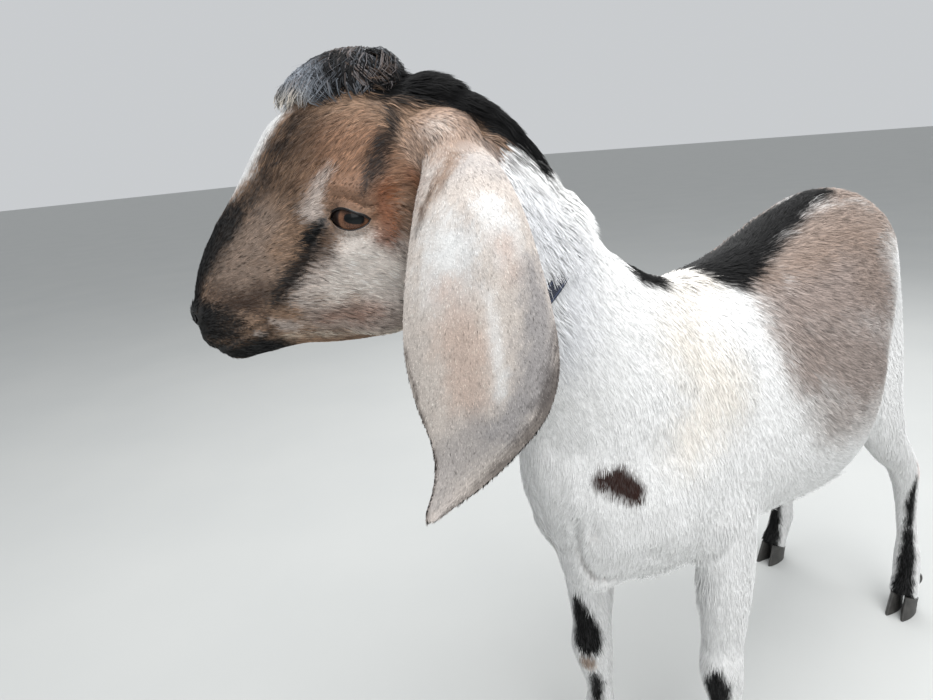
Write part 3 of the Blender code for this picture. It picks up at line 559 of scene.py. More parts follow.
def path_gap(points, path, radii=None):
    """Distance to a path less its radius there, and how far along the path that is."""
    best = np.full(len(points), FAR)
    along = np.zeros(len(points))
    path = np.atleast_2d(path)
    radii = np.zeros(len(path)) if radii is None else np.asarray(radii, float)
    if len(path) == 1:
        return lengths(points - path[0]) - radii[0], along
    for k in range(len(path) - 1):
        run = path[k + 1] - path[k]
        t = np.clip(((points - path[k]) @ run) / max(run @ run, 1e-9), 0, 1)
        gap = (lengths(points - path[k] - t[:, None] * run)
               - radii[k] - t * (radii[k + 1] - radii[k]))
        along = np.where(gap < best, (k + t) / (len(path) - 1), along)
        best = np.minimum(best, gap)
    return best, along


NOSTRIL_STEPS = 8
NOSTRIL_OUT = np.array([0.72, 0.62, 0.1])        # the way the left nostril opens, in the head's frame


def nostril_path(side):
    """The slit of a nostril, from its round front end up and back: x, y, z and half width, mm."""
    rows = []
    for k in range(NOSTRIL_STEPS + 1):
        t = k / NOSTRIL_STEPS
        rows.append((152 - 15 * t - 6 * t * t, side * (20 - 11.5 * t), -59 + 15 * t,
                     2.6 * (1 - 0.62 * t) * (0.6 + 0.4 * min(1, 4 * t))))
    return np.array(rows)


CHEST_FOLDS = [      # soft creases of the chest on the left, centred mm, then half width and depth
    ([(207, 42, 384), (199, 35, 356), (194, 33, 334), (186, 39, 321), (168, 49, 312)], 3.8, 4.4),
    ([(204, 60, 392), (196, 52, 372)], 5.0, 2.2),
    ([(150, 76, 342), (128, 84, 318), (100, 92, 300)], 6.0, 3.0)]
POINT_OF_CHEST = (186, 51, 346)                  # a rounded swelling between the folds, centred mm


def fold_chest(points, normals):
    """Creases where the chest meets the forelegs, and the swelling in front of the shoulder."""
    at = points / MM
    both = np.column_stack([at[:, 0], MIDLINE + np.abs(at[:, 1] - MIDLINE), at[:, 2]])
    lift = 3.8 * hill(lengths(both - POINT_OF_CHEST), 0, 22)
    for path, half, depth in CHEST_FOLDS:
        gap, _ = path_gap(both, np.array(path, float))
        lift -= depth * hill(gap, 0, half)
    return points + normals * (lift * MM)[:, None]


def shape_muzzle(points, normals):
    """Rims round the nostrils, the groove of the mouth with its lips, and the split of the upper lip."""
    local = into(points, HEAD)
    near = np.flatnonzero((local[:, 0] > 84) & (local[:, 2] < 0))
    q, n = local[near], turn_with(normals[near], HEAD.inverted())
    lift = np.zeros(len(q))
    gap, along = path_gap(q, mouth_line())
    ends = np.clip(np.minimum(along, 1 - along) / 0.10, 0, 1)
    lift -= 1.6 * hill(gap, 0, 1.25) * (0.2 + 0.8 * ends)
    above = q[:, 2] > np.interp(q[:, 0], [r[0] for r in MOUTH], [r[1] for r in MOUTH])
    lift += np.where(above, 0.9, 0.6) * hill(gap, 4.0, 2.4) * ends
    for side in SIDES:
        path = nostril_path(side)
        gap, along = path_gap(q, path[:, :3], path[:, 3])
        lift += 1.3 * hill(gap, 2.2, 1.8) * (1 - 0.5 * along)
        lift -= 1.6 * hill(np.maximum(gap, 0), 0, 0.9)
        lift -= 0.8 * hill(gap, 7.5, 2.6) * ramp(q[:, 2], -66, -52) * (q[:, 0] < 150)
    lift -= 1.0 * hill(q[:, 1], 0, 1.2) * ramp(q[:, 0], 143, 149) * (q[:, 2] < -56) * (q[:, 2] > -80)
    local[near] = q + n * lift[:, None]
    return out_of(local, HEAD)


def nostril_cutter(side):
    """A plug as wide as the slit that opens a nostril to a few mm deep."""
    path = nostril_path(side)
    opens = NOSTRIL_OUT * [1, side, 1]
    rings = []
    for k, half in enumerate(path[:, 3]):
        along = unit(path[min(k + 1, NOSTRIL_STEPS), :3] - path[max(k - 1, 0), :3])
        out = unit(opens - along * (along @ opens))
        across = np.cross(along, out)
        ring = np.array([path[k, :3] + out * (4.6 * math.cos(t) - 0.5) + across * (half * math.sin(t))
                         for t in ring_angles(RING_SIDES)])
        rings.append([Vector(p) for p in out_of(ring, HEAD)])
    return loft('nostril', rings)


# ---------------------------------------------------------------- ears
EAR_ROWS = [       # along the ear: front x, front z, rear x, rear z, out, curl, depth in mm
    (-12, 36, -46, 36, 40, 1.45, 15), (-4, 22, -54, 22, 54, 1.35, 17), (6, -2, -63, -2, 66, 1.05, 17),
    (14, -30, -69, -28, 72, 0.80, 15), (20, -60, -75, -58, 74, 0.62, 13), (22, -90, -80, -90, 73, 0.52, 12),
    (18, -122, -80, -120, 71, 0.46, 10), (11, -150, -70, -148, 69, 0.40, 7),
    (10, -170, -50, -170, 68, 0.30, 3), (14, -187, -26, -188, 69, 0.25, -1),
    (20, -200, 0, -201, 71, 0.22, -1), (20, -207, 13, -207, 72, 0.20, -0.4)]


def ear(side):
    """A long hanging leaf, curled to a cup at its root, with a low ridge down its middle and thin edges."""
    half_count = 22
    rows = spline(EAR_ROWS, 7)
    rings = []
    out = np.array([0.0, 1.0, 0.0])
    for i, (front_x, front_z, rear_x, rear_z, y, curl, depth) in enumerate(rows):
        front, rear = np.array([front_x, y, front_z]), np.array([rear_x, y, rear_z])
        middle, across = (front + rear) / 2, (front - rear) / 2
        down = i / (len(rows) - 1)
        thick = 4.6 - 2.6 * ramp(down, 0.25, 1.0)
        outer, inner = [], []
        for k in range(-half_count, half_count + 1):
            s = math.sin(k / half_count * math.pi / 2)
            along = math.sin(curl * s) / math.sin(curl)
            bow = (math.cos(curl * s) - math.cos(curl)) / (1 - math.cos(curl))
            wave = 0.7 * math.sin(5.5 * s + 4 * down) * (1 - s * s) + 0.9 * math.sin(9 * down) * s ** 3
            ridge = 1.2 * math.exp(-((s - 0.1) / 0.13) ** 2) * ramp(down, 0.05, 0.3) * (1 - 0.6 * down)
            vein = 0.45 * math.exp(-((s + 0.42 - 0.2 * down) / 0.06) ** 2) * ramp(down, 0.1, 0.3)
            centre = middle + across * along + out * (depth * bow + wave * ramp(down, 0.1, 0.5))
            lean = out * math.cos(curl * s) + across / np.linalg.norm(across) * math.sin(curl * s)
            half = thick / 2 * max(0.16, 1 - 0.72 * abs(s) ** 3 * ramp(down, 0.0, 0.2))
            outer.append(centre + lean * (half + ridge + vein - 0.6))
            inner.append(centre - lean * half)
        rings.append(out_of(np.array(outer + inner[::-1]), ear_frame(side)))
    return loft(f'ear_{side_word(side)}_form', [[Vector(p) for p in ring] for ring in rings])


def nearest_node(points):
    """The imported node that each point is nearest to, as its number in NODES."""
    tree_points, labels = [], []
    # sixths of two edges
    shares = ((1, 1), (4, 1), (1, 4), (2, 2), (0, 3), (3, 0), (3, 3), (0, 0), (6, 0), (0, 6))
    for number, name in enumerate(NODES):
        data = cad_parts[name].data
        spots = np.array([v.co for v in data.vertices]).reshape(-1, 3)
        data.calc_loop_triangles()
        corners = np.array([t.vertices[:] for t in data.loop_triangles])
        a, b, c = (spots[corners[:, k]] for k in range(3))
        for i, j in shares:
            tree_points.append(a + (b - a) * (i / 6) + (c - a) * (j / 6))
            labels.append(np.full(len(a), number))
    return np.concatenate(labels)[nearest(tree_of(np.vstack(tree_points)), points)]


COAT_DEPTH, HEAD_THINNER = 1.6, 0.9              # of the coat, and how much less it is on the head, mm
MUZZLE = (136, 0, -68)                           # its middle, in the head's frame


def skin_form():
    """The whole skin, with lids, lips, nostrils and ears, lying under the coat by its depth."""
    skin = flesh_form()
    for radius in (24, 18):
        for side in SIDES:
            refine(skin, eye_frame(side), (12, 0, -1), radius)
    refine(skin, HEAD, MUZZLE, 40)
    points = iron(points_of(skin), edges_of(skin), np.ones(len(skin.data.vertices)), 6)
    put_points(skin, points)
    normals = normals_of(skin)
    local = into(points, HEAD)
    on_head = ramp(local[:, 0], -60, -20) * ramp(local[:, 2], -130, -100)
    depth = COAT_DEPTH - HEAD_THINNER * on_head
    points = points - normals * (depth * MM)[:, None]
    for side in SIDES:
        points = wrap_lids(points, side)
        points = tear_groove(points, normals, side)
    points = fold_chest(shape_muzzle(points, normals), normals)
    put_points(skin, points)
    for side in SIDES:
        cut(skin, ear(side), 'UNION')
    for side in SIDES:
        for tool in (socket(side), eye_cutter(side), nostril_cutter(side)):
            cut(skin, tool, 'DIFFERENCE')
    soften_ear_roots(skin)
    bpy.ops.object.select_all(action='DESELECT')
    return skin


def soften_ear_roots(skin):
    """Melt the line where an ear leaves the head."""
    points, pairs = points_of(skin), edges_of(skin)
    weight = np.zeros(len(points))
    for side in SIDES:
        local = into(points, ear_frame(side))
        gap = lengths((local - [-24, 48, 36]) / [42, 28, 34])
        weight = np.maximum(weight, 1 - ramp(gap, 0.7, 1.05))
    counts = np.bincount(pairs.ravel(), minlength=len(points))
    for _ in range(60):
        points = points + weight[:, None] * 0.5 * (neighbour_mean(points, pairs, counts) - points)
    put_points(skin, points)


# ---------------------------------------------------------------- colours of the coat
WHITE, CREAM, PALE = colour('#efefee'), colour('#e8dccb'), colour('#b6aaa2')
TAN, RUFOUS, UMBER = colour('#8d735f'), colour('#7d4d33'), colour('#33241b')
BEIGE, TAUPE, SILVER = colour('#806f63'), colour('#93867f'), colour('#80868e')
BLACK, INK, ROSE = colour('#0c0b0c'), colour('#050506'), colour('#d9b3a6')
CHEEK, NECK_PAINTED_SHADE = colour('#e2d9d1'), colour('#dcdde1')
EAR_CREAM, EAR_GREY, EAR_TAN = colour('#d2c8c0'), colour('#9e9a9a'), colour('#cdb5a7')
CHOCOLATE, FAWN, GRIZZLE = colour('#2f1c17'), colour('#ad9585'), colour('#8b7a6f')

# Strokes of colour laid over each other: colour, softness of the edge, strength, and a path of x, y, z
# and radius in mm. On the head and ears both sides are alike. A 1 after a path of the body lays the stroke
# on both sides.
HEAD_MARKS = [
    (RUFOUS, 22, 0.35, [(40, 40, 30, 30), (20, 40, 20, 24)]),
    (UMBER, 28, 0.72, [(88, 20, 44, 12), (72, 30, 40, 16), (66, 26, 58, 14)]),
    (UMBER, 20, 0.62, [(90, 27, 22, 10), (78, 36, 14, 9), (74, 36, -4, 7)]),
    (BEIGE, 20, 0.95, [(128, 22, -34, 19), (112, 25, -14, 18), (98, 28, 0, 14)]),
    (BEIGE, 16, 0.8, [(120, 22, -48, 13), (104, 28, -34, 15)]),
    (PALE, 18, 0.9, [(84, 34, -44, 8), (60, 40, -36, 16), (36, 44, -30, 22), (14, 42, -40, 28)]),
    (CHEEK, 16, 0.95, [(54, 42, -26, 7), (42, 45, -24, 10), (30, 46, -26, 10)]),
    (PALE, 18, 0.85, [(70, 34, -66, 14), (30, 36, -70, 20), (0, 34, -60, 22)]),
    (CHEEK, 22, 0.85, [(66, 34, -46, 8), (40, 40, -40, 14), (18, 44, -44, 16), (-6, 42, -40, 16)]),
    (RUFOUS, 14, 0.62, [(70, 33, -66, 5), (50, 35, -64, 8), (36, 36, -62, 5)]),
    (CREAM, 10, 0.8, [(90, 24, -80, 5), (50, 28, -88, 8), (10, 26, -84, 10)]),
    (UMBER, 14, 0.72, [(122, 25, -50, 6), (108, 28, -46, 7), (98, 31, -42, 5)]),
    (RUFOUS, 13, 0.85, [(20, 47, 10, 9), (18, 46, -4, 10), (22, 46, -17, 6)]),
    (PALE, 10, 0.7, [(4, 45, 4, 2.5), (7, 46, -10, 4), (12, 46, -24, 6)]),
    (UMBER, 9, 0.7, [(60, 42, -12, 6), (62, 42, -22, 6)]),
    (BLACK, 8, 0.95, [(60, 42, -3, 2.6), (69, 39, -9, 5), (73, 39, -20, 5.5), (82, 37, -30, 6),
                      (92, 33, -41, 6), (98, 31, -52, 5)]),
    (PALE, 9, 0.9, [(54, 39, 27, 2), (61, 38, 17, 5), (67, 38, 5, 8), (66, 39, 0, 5)]),
    (INK, 3.5, 1.0, [(54, 43, 0.5, 2.6), (59, 42, -1.5, 3.4), (66, 40, -6, 4.5), (72, 38, -12, 5.5)]),
    (UMBER, 5, 0.65, [(50, 43, 7, 1.5), (38, 45, 8, 2), (27, 47, 4, 1.5)]),
    (BLACK, 9, 0.95, [(7, 24, 68, 5), (11, 35, 50, 5.5), (20, 41, 40, 6), (26, 45, 26, 6.5),
                      (32, 48, 15, 4)]),
    (BLACK, 13, 0.85, [(72, 24, 58, 8), (84, 26, 44, 8), (96, 26, 26, 7), (110, 20, 8, 8)]),
    (INK, 10, 0.95, [(112, 15, 6, 9), (124, 12, -8, 12), (138, 8, -26, 15), (146, 6, -44, 14)]),
    (INK, 10, 0.95, [(121, 6, 2, 9), (134, 5, -20, 13), (148, 6, -48, 12)]),
    (WHITE, 11, 1.0, [(62, 0, 80, 7), (78, 0, 64, 12), (90, 0, 48, 15), (100, 0, 34, 16), (106, 0, 22, 11),
                      (112, 0, 10, 3)]),
    (INK, 9, 1.0, [(148, 6, -44, 15), (150, 14, -48, 12), (145, 20, -52, 9)]),
    (UMBER, 15, 0.85, [(136, 21, -42, 8), (124, 26, -47, 8), (112, 28, -52, 6)]),
    (INK, 11, 0.95, [(146, 16, -54, 9), (136, 22, -58, 9), (124, 25, -64, 6)]),
    (INK, 12, 0.97, [(143, 18, -60, 11), (132, 24, -68, 8), (122, 25, -72, 6), (112, 27, -72, 2)]),
    (INK, 10, 1.0, [(152, 0, -62, 14), (150, 12, -64, 12)]),
    (INK, 12, 1.0, [(108, 12, -88, 13), (122, 10, -84, 16), (142, 8, -76, 14)]),
    (INK, 11, 1.0, [(106, 24, -72, 4), (118, 22, -80, 8), (104, 16, -86, 8)]),
    (PALE, 6, 0.85, [(101, 28, -63, 2), (96, 28, -68, 4.5), (90, 28, -70, 5)]),
    (UMBER, 5, 0.8, [(104, 28, -58, 2), (106, 27, -65, 2.5), (99, 28, -73, 2)]),
    (PALE, 4, 0.8, [(112, 25, -71.5, 2.4)]),
    (FAWN, 14, 0.85, [(-4, 40, 40, 12), (-20, 42, 50, 16), (-22, 52, 40, 10), (-6, 50, 26, 6)]),
    (EAR_CREAM, 10, 0.6, [(-12, 40, 46, 6), (-20, 46, 48, 6), (-10, 46, 34, 4)]),
    (TAN, 9, 0.8, [(-38, 52, 50, 4), (-26, 60, 36, 4), (-16, 68, 23, 4), (-6, 70, 12, 4), (3, 68, -1, 3)]),
    (RUFOUS, 12, 0.6, [(2, 42, 22, 5), (-2, 48, 12, 6), (2, 46, 2, 5)]),
    (TAN, 12, 0.7, [(8, 42, 8, 5), (6, 44, -10, 7)]),
]
EAR_MARKS = [
    (RUFOUS, 12, 0.75, [(2, 60, 30, 5), (4, 66, 14, 6), (10, 68, 0, 3)]),
    (FAWN, 14, 0.9, [(-12, 60, 38, 10), (-28, 58, 46, 12), (-46, 54, 42, 10)]),
    (EAR_GREY, 20, 0.55, [(-16, 70, 20, 9), (-34, 68, 30, 12), (-52, 66, 24, 10)]),
    (WHITE, 22, 1.0, [(-10, 80, -10, 9), (-14, 84, -24, 15), (-6, 84, -48, 14)]),
    (WHITE, 18, 1.0, [(-34, 78, -2, 8), (-44, 82, -14, 12), (-46, 84, -28, 10)]),
    (TAN, 9, 0.85, [(-38, 56, 50, 4), (-26, 61, 36, 4.5), (-16, 69, 24, 4.5), (-6, 72, 12, 4),
                    (3, 72, -1, 3)]),
    (UMBER, 5, 0.6, [(-6, 70, 14, 1), (2, 72, 0, 2), (7, 73, -12, 1)]),
    (EAR_GREY, 12, 0.35, [(-22, 86, 2, 3), (-26, 88, -44, 5)]),
    (EAR_TAN, 26, 0.75, [(-8, 86, -50, 10), (-16, 86, -92, 16), (-14, 82, -120, 14)]),
    (EAR_TAN, 16, 0.7, [(-44, 86, -22, 8), (-50, 86, -40, 6)]),
    (EAR_GREY, 22, 0.9, [(-64, 82, -44, 9), (-66, 80, -80, 16), (-62, 76, -118, 18), (-40, 76, -146, 14)]),
    (EAR_GREY, 24, 0.6, [(-20, 76, -150, 20), (0, 74, -170, 16), (14, 72, -196, 10)]),
    (WHITE, 9, 0.7, [(-29, 86, -44, 3), (-34, 86, -80, 3.5), (-36, 84, -120, 4)]),
    (UMBER, 16, 0.72, [(-79, 74, -84, 3), (-79, 73, -110, 8), (-75, 73, -132, 11), (-68, 72, -148, 12),
                       (-52, 71, -168, 11), (-22, 70, -192, 8), (4, 70, -206, 4)]),
    (UMBER, 4, 0.85, [(21, 73, -84, 0.5), (15, 70, -132, 1), (9, 68, -164, 1), (11, 69, -180, 1),
                      (18, 71, -198, 1), (20, 72, -207, 1)]),
    (UMBER, 4, 0.8, [(-1, 72, -186, 2.2)]),
    (UMBER, 3, 0.8, [(-8, 72, -182, 1.2)]),
    (UMBER, 3, 0.7, [(3, 72, -194, 1.2)]),
]
# The trunk's strokes are measured from the middle of the back; a last 1 mirrors a stroke to the other side.
BODY_MARKS = [
    (CREAM, 70, 0.55, [(96, 55, 520, 30), (60, 70, 470, 30), (110, 70, 440, 20)], 1),
    (CREAM, 50, 0.5, [(10, 20, 560, 22), (50, 30, 555, 26)], 1),
    (TAUPE, 40, 1.0, [(-56, 30, 550, 14), (-64, 66, 520, 22), (-120, 60, 520, 46), (-200, 50, 520, 60),
                      (-240, 50, 480, 50)], 1),
    (TAUPE, 44, 0.95, [(-58, 80, 490, 18), (-90, 88, 470, 34), (-150, 88, 440, 44), (-214, 84, 420, 36)], 1),
    (TAUPE, 60, 0.6, [(-90, 92, 400, 18), (-160, 96, 390, 34), (-204, 92, 370, 20)], 1),
    (TAUPE, 36, 0.85, [(-44, 50, 540, 24), (-46, 72, 505, 28), (-54, 86, 468, 28)], 1),
    (TAUPE, 60, 0.6, [(-54, 86, 460, 24), (-70, 92, 425, 26), (-112, 97, 396, 26)], 1),
    (TAUPE, 50, 0.6, [(-100, 84, 490, 30), (-200, 84, 470, 40)], 1),
    (GRIZZLE, 34, 0.95, [(-40, 40, 550, 14), (-110, 44, 560, 26), (-190, 44, 576, 34), (-250, 46, 566, 34),
                         (-300, 34, 560, 36), (-350, 20, 545, 26)], 1),
    (GRIZZLE, 50, 0.5, [(-250, 70, 530, 30), (-200, 70, 520, 30)], 1),
    (UMBER, 40, 0.30, [(-250, 20, 596, 20), (-300, 12, 580, 20), (-350, 8, 560, 14)], 1),
    (GRIZZLE, 30, 0.9, [(-250, 10, 596, 30), (-310, 8, 590, 34), (-350, 20, 566, 34),
                        (-375, 24, 530, 26)], 1),
    (WHITE, 24, 0.95, [(-386, 30, 470, 14), (-370, 58, 440, 16), (-350, 74, 400, 18),
                       (-340, 80, 360, 16)], 1),
    (WHITE, 30, 0.95, [(-340, 40, 420, 26), (-310, 40, 370, 30)], 1),
    (INK, 15, 1.0, [(-4, 8, 562, 14), (-22, 27, 550, 20), (-80, 17, 570, 20), (-150, 11, 592, 19),
                    (-200, 7, 606, 17), (-246, 4, 604, 13)], 1),
    (INK, 12, 1.0, [(-6, 0, 558, 18), (-70, 0, 572, 19), (-150, 0, 594, 18), (-240, 0, 606, 12)], 0),
    (INK, 14, 1.0, [(124, 0, 592, 16), (112, 14, 580, 20), (86, 16, 572, 18)], 1),
    (CHOCOLATE, 7, 1.0, [(193, 47, 424, 9), (182, 54, 421, 13), (171, 61, 408, 10.5)], 0),
    # The three thin taupe strokes below lie along the creases of the chest: painted shade in the folds.
    (TAUPE, 8, 0.45, [(204, 27, 372, 1), (197, 20, 354, 1.5), (192, 18, 336, 2), (184, 24, 320, 2),
                      (166, 34, 310, 1.5)], 1),
    (TAUPE, 8, 0.4, [(202, 44, 384, 0.5), (196, 37, 370, 1.5)], 1),
    (TAUPE, 12, 0.3, [(150, 61, 340, 1), (128, 69, 318, 3), (104, 77, 300, 2)], 1),
    (INK, 14, 1.0, [(-408, 0, 562, 12), (-432, 2, 536, 20), (-440, 2, 440, 34)], 0),
]
CHEST_SPOT = (182, 54, 420)                      # the middle of the chocolate spot, measured as its stroke is
NAPE_MARKS = [      # in the head's frame, over the neck
    # A grey white over the neck below and behind the ear: painted shade.
    (NECK_PAINTED_SHADE, 60, 0.85, [(-50, 40, 10, 20), (-80, 30, -20, 26), (-110, 20, -60, 26),
                            (-100, 30, -110, 26)]),
    (UMBER, 16, 0.9, [(-40, 30, 60, 10), (-70, 30, 36, 10), (-92, 28, 12, 6)]),
    (UMBER, 14, 0.8, [(-30, 44, 40, 4), (-52, 44, 34, 6)]),
    (INK, 13, 1.0, [(10, 8, 84, 22), (-30, 4, 78, 24), (-62, 0, 58, 22), (-92, -8, 28, 18),
                    (-118, -18, -2, 13),
                    (-138, -30, -26, 10), (-156, -38, -46, 6)]),
]


def paint_strokes(base, points, marks, wobble):
    """Lay strokes over the colours, each with an uneven edge."""
    made = base
    for tone, soft, strength, path, *mirror in marks:
        path = np.array(path, float)
        paths = [path]
        if mirror and mirror[0]:
            paths.append(path * [1, -1, 1, 1])
        gap = np.full(len(points), FAR)
        for one in paths:
            reach = (one[:, 3] + soft)[:, None]
            low, high = (one[:, :3] - reach).min(0) - 8, (one[:, :3] + reach).max(0) + 8      # a box round it
            near = np.flatnonzero(((points > low) & (points < high)).all(1))
            if len(near):
                found, _ = path_gap(points[near], one[:, :3], one[:, 3])
                gap[near] = np.minimum(gap[near], found)
        cover = strength * (1 - ramp(gap + wobble * min(0.45 * soft, 9), -soft / 2, soft / 2))
        made = made * (1 - cover[:, None]) + tone * cover[:, None]
    return made


def coat_colours(points, labels, rng):
    """The colour of the coat at each point, with wavering edges and a little grain."""
    count = len(points)
    wobble = (0.55 * mottle(points, 0.009) + 0.35 * mottle(points, 0.003) + 0.45 * rng.uniform(-1, 1, count))
    made = np.tile(WHITE, (count, 1))
    local = into(points, HEAD)
    even = local * side_signs(local)
    trunk = np.flatnonzero(~np.isin(labels, (SKULL,) + EARS))
    made[trunk] = paint_strokes(made[trunk], points[trunk] / MM - [0, MIDLINE, 0], BODY_MARKS, wobble[trunk])
    made[trunk] = paint_strokes(made[trunk], even[trunk], NAPE_MARKS, wobble[trunk])
    made[trunk] = paint_legs(made[trunk], points[trunk] / MM, labels[trunk], wobble[trunk])
    head = np.flatnonzero(labels == SKULL)
    tone = TAN * (1 - 0.10 * mottle(points[head], 0.012)[:, None])
    made[head] = paint_strokes(tone, even[head], HEAD_MARKS, wobble[head])
    made[head] = paint_strokes(made[head], even[head], NAPE_MARKS, wobble[head])
    for side, node in zip(SIDES, EARS):
        own = np.flatnonzero(labels == node)
        place = into(points[own], ear_frame(side))
        tone = np.tile(EAR_CREAM, (len(own), 1))
        made[own] = paint_strokes(tone, place, EAR_MARKS, wobble[own])
    grain = 1 + 0.07 * rng.uniform(-1, 1, count) + 0.05 * mottle(points, 0.006)
    return np.clip(made * grain[:, None], 0, 1)


HIND_MARKS = [(INK, 8, 1.0, [(0, 0, 214, 4), (-2, 0, 190, 7), (-2, 0, 130, 9), (-4, 0, 90, 11),
                             (6, 0, 45, 14), (14, 0, 20, 14)])]
LEG_MARKS = {       # strokes of each leg, measured from the middle of its foot
    3: [(INK, 8, 1.0, [(6, 6, 168, 6), (4, 8, 150, 14), (4, 7, 128, 14)]),
        (TAN, 10, 0.8, [(14, -4, 110, 9), (12, -8, 100, 6)]),
        (INK, 8, 1.0, [(9, 0, 96, 6), (6, 0, 70, 9), (10, 0, 36, 14), (14, 0, 18, 14)])],
    4: [(INK, 8, 1.0, [(7, 4, 228, 6), (5, 6, 205, 12), (3, 9, 185, 16), (1, 11, 174, 15)]),
        (TAN, 10, 0.85, [(5, 9, 149, 9), (10, 8, 138, 6)]),
        (INK, 8, 1.0, [(-5, 10, 128, 6), (-8, 10, 110, 10), (-6, 8, 88, 10), (4, 3, 62, 10), (10, 0, 36, 14),
                       (14, 0, 18, 14)])],
    5: HIND_MARKS,
    6: HIND_MARKS}
FEET = {3: (53.7, 74.9), 4: (115.7, -43.1), 5: (-402.3, 94.9), 6: (-406.3, -101.1)}     # x and y, mm
HOCK, HOCK_SIZE = (-14, 0, 228), (16, 30, 20)    # where the hair is thin behind the hock, from the foot, mm
KNEES_AND_HOCKS = 300                            # the legs' marks all lie below this, mm


def paint_legs(made, points, labels, wobble):
    """Black marks down each leg, tan under the knees and a rosy tinge at the hocks."""
    for node, marks in LEG_MARKS.items():
        own = np.flatnonzero((labels == node) & (points[:, 2] < KNEES_AND_HOCKS))
        foot = np.array([*FEET[node], 0.0])
        part = made[own]
        if node in HINDLEGS:
            away = lengths((points[own] - foot - HOCK) / HOCK_SIZE)
            rosy = 0.3 * (1 - ramp(away, 0.6, 1.3))[:, None]
            part = part * (1 - rosy) + ROSE * rosy
        made[own] = paint_strokes(part, points[own] - foot, marks, wobble[own])
    return made


# ---------------------------------------------------------------- the way the hair lies
HEAD_LIE = [        # place on the left side in the head's frame, and the way the hair runs there
    (150, 0, -50, 0.1, 0, 1), (126, 25, -37, -1, 0.1, 0.12), (114, 25, -19, -1, 0.1, 0.35),
    (109, 18, 9, -0.7, 0.1, 0.75), (97, 21, 27, -0.6, 0.1, 0.8), (112, 0, 21, -0.6, 0, 0.8),
    (68, 33, 36, -0.65, 0.2, 0.75), (50, 39, 32, -0.65, 0.1, 0.75), (85, 0, 55, -0.6, 0, 0.8),
    (58, 34, 55, -0.9, 0.2, 0.2), (21, 40, 38, -0.55, 0, 0.8), (31, 48, 14, -0.8, 0, 0.5),
    (16, 47, -2, -0.7, 0, -0.6), (5, 38, 43, 0.2, 0.3, -0.9), (45, 46, -21, -1, 0, -0.25),
    (66, 40, -14, -1, 0, -0.35), (41, 42, -42, -1, 0, -0.35), (57, 34, -64, -1, 0, -0.12),
    (98, 28, -55, -1, 0, 0.05), (127, 20, -77, -1, 0, -0.3), (60, 0, -90, -1, 0, -0.1),
    (10, 0, -86, -1, 0, -0.4), (0, 42, -20, -0.6, 0, -0.8), (-30, 40, -20, -0.7, 0, -0.7),
    (-40, 0, 66, -1, 0, -0.3), (-20, 34, 60, -0.8, 0.4, -0.2), (0, 0, 84, -1, 0, 0.1),
    (92, 36, -30, -1, 0, 0.0), (78, 38, 4, -0.9, 0, 0.35), (-30, 44, 30, -0.4, 0.5, -0.7)]


HEAD_LIE_REACH = 15.0                            # how far each of these places rules, mm
CHEST_WHORL = (196, 37, 369)                     # where the hair of the chest parts, mm
TAIL_FRONT = -399                                # x of the tail's root, mm


def lie_of_coat(points, labels, normals):
    """The way the hair runs at each vertex, along the skin: back and down, and its own way on the head."""
    made = np.zeros((len(points), 3))
    at = points / MM
    back = ramp(at[:, 0], -180, 90)
    side = np.sign(at[:, 1] - MIDLINE)
    made[:, 0] = -1 + 0.72 * back
    made[:, 2] = -0.42 - 0.9 * back
    chest = ramp(at[:, 0], 130, 175) * (1 - ramp(at[:, 2], 470, 540))
    made[:, 0] += 0.25 * chest
    made[:, 1] -= 0.35 * side * chest
    under = 1 - ramp(at[:, 2], 275, 330)
    made[:, 2] *= 1 - 0.8 * under
    made[:, 0] -= 0.5 * under
    neck = labels == NECK
    made[neck] = [-0.62, 0.0, -1.0]
    both = np.column_stack([at[:, 0], np.abs(at[:, 1] - MIDLINE), at[:, 2]])
    out = (both - CHEST_WHORL) * np.where(side[:, None] < 0, [1, -1, 1], [1, 1, 1])
    whorl = 1.6 * np.exp(-((out ** 2).sum(1)) / 22 ** 2)
    made += unit(out) * whorl[:, None]
    legs = np.isin(labels, LEGS)
    made[legs] = [-0.16, 0.0, -1.0]
    thigh = np.isin(labels, HINDLEGS) & (at[:, 2] > 300)
    made[thigh] = [-0.45, 0.0, -1.0]
    made[labels == TAIL] = [-0.2, 0.0, -1.0]
    tail = (at[:, 0] < TAIL_FRONT) & (at[:, 2] > 430) & ~legs
    made[tail] = [-0.3, 0.0, -1.0]
    head = np.flatnonzero(labels == SKULL)
    local = into(points[head], HEAD)
    mirror = side_signs(local)
    table = np.array(HEAD_LIE, float)
    gap = ((local * mirror)[:, None, :] - table[None, :, :3]) ** 2
    share = np.exp(-gap.sum(2) / (2 * HEAD_LIE_REACH ** 2)) + 1e-7
    made[head] = turn_with((share @ unit(table[:, 3:])) * mirror, HEAD)
    for side, node in zip(SIDES, EARS):
        own = np.flatnonzero(labels == node)
        frame_of = ear_frame(side)
        place = into(points[own], frame_of)
        middle = np.interp(-place[:, 2], [-20, 60, 120, 150, 205], [-22, -27, -31, -28, 14])
        fan = np.clip((place[:, 0] - middle) / 50, -1, 1)
        down = np.column_stack([0.35 * fan + 0.45 * ramp(-place[:, 2], 150, 190), 0 * fan, -1 + 0 * fan])
        made[own] = turn_with(down, frame_of)
    made += 0.10 * np.column_stack([mottle(points + k, 0.03) for k in (0.0, 5.0, 9.0)])
    made -= normals * (made * normals).sum(1)[:, None]
    return unit(made)


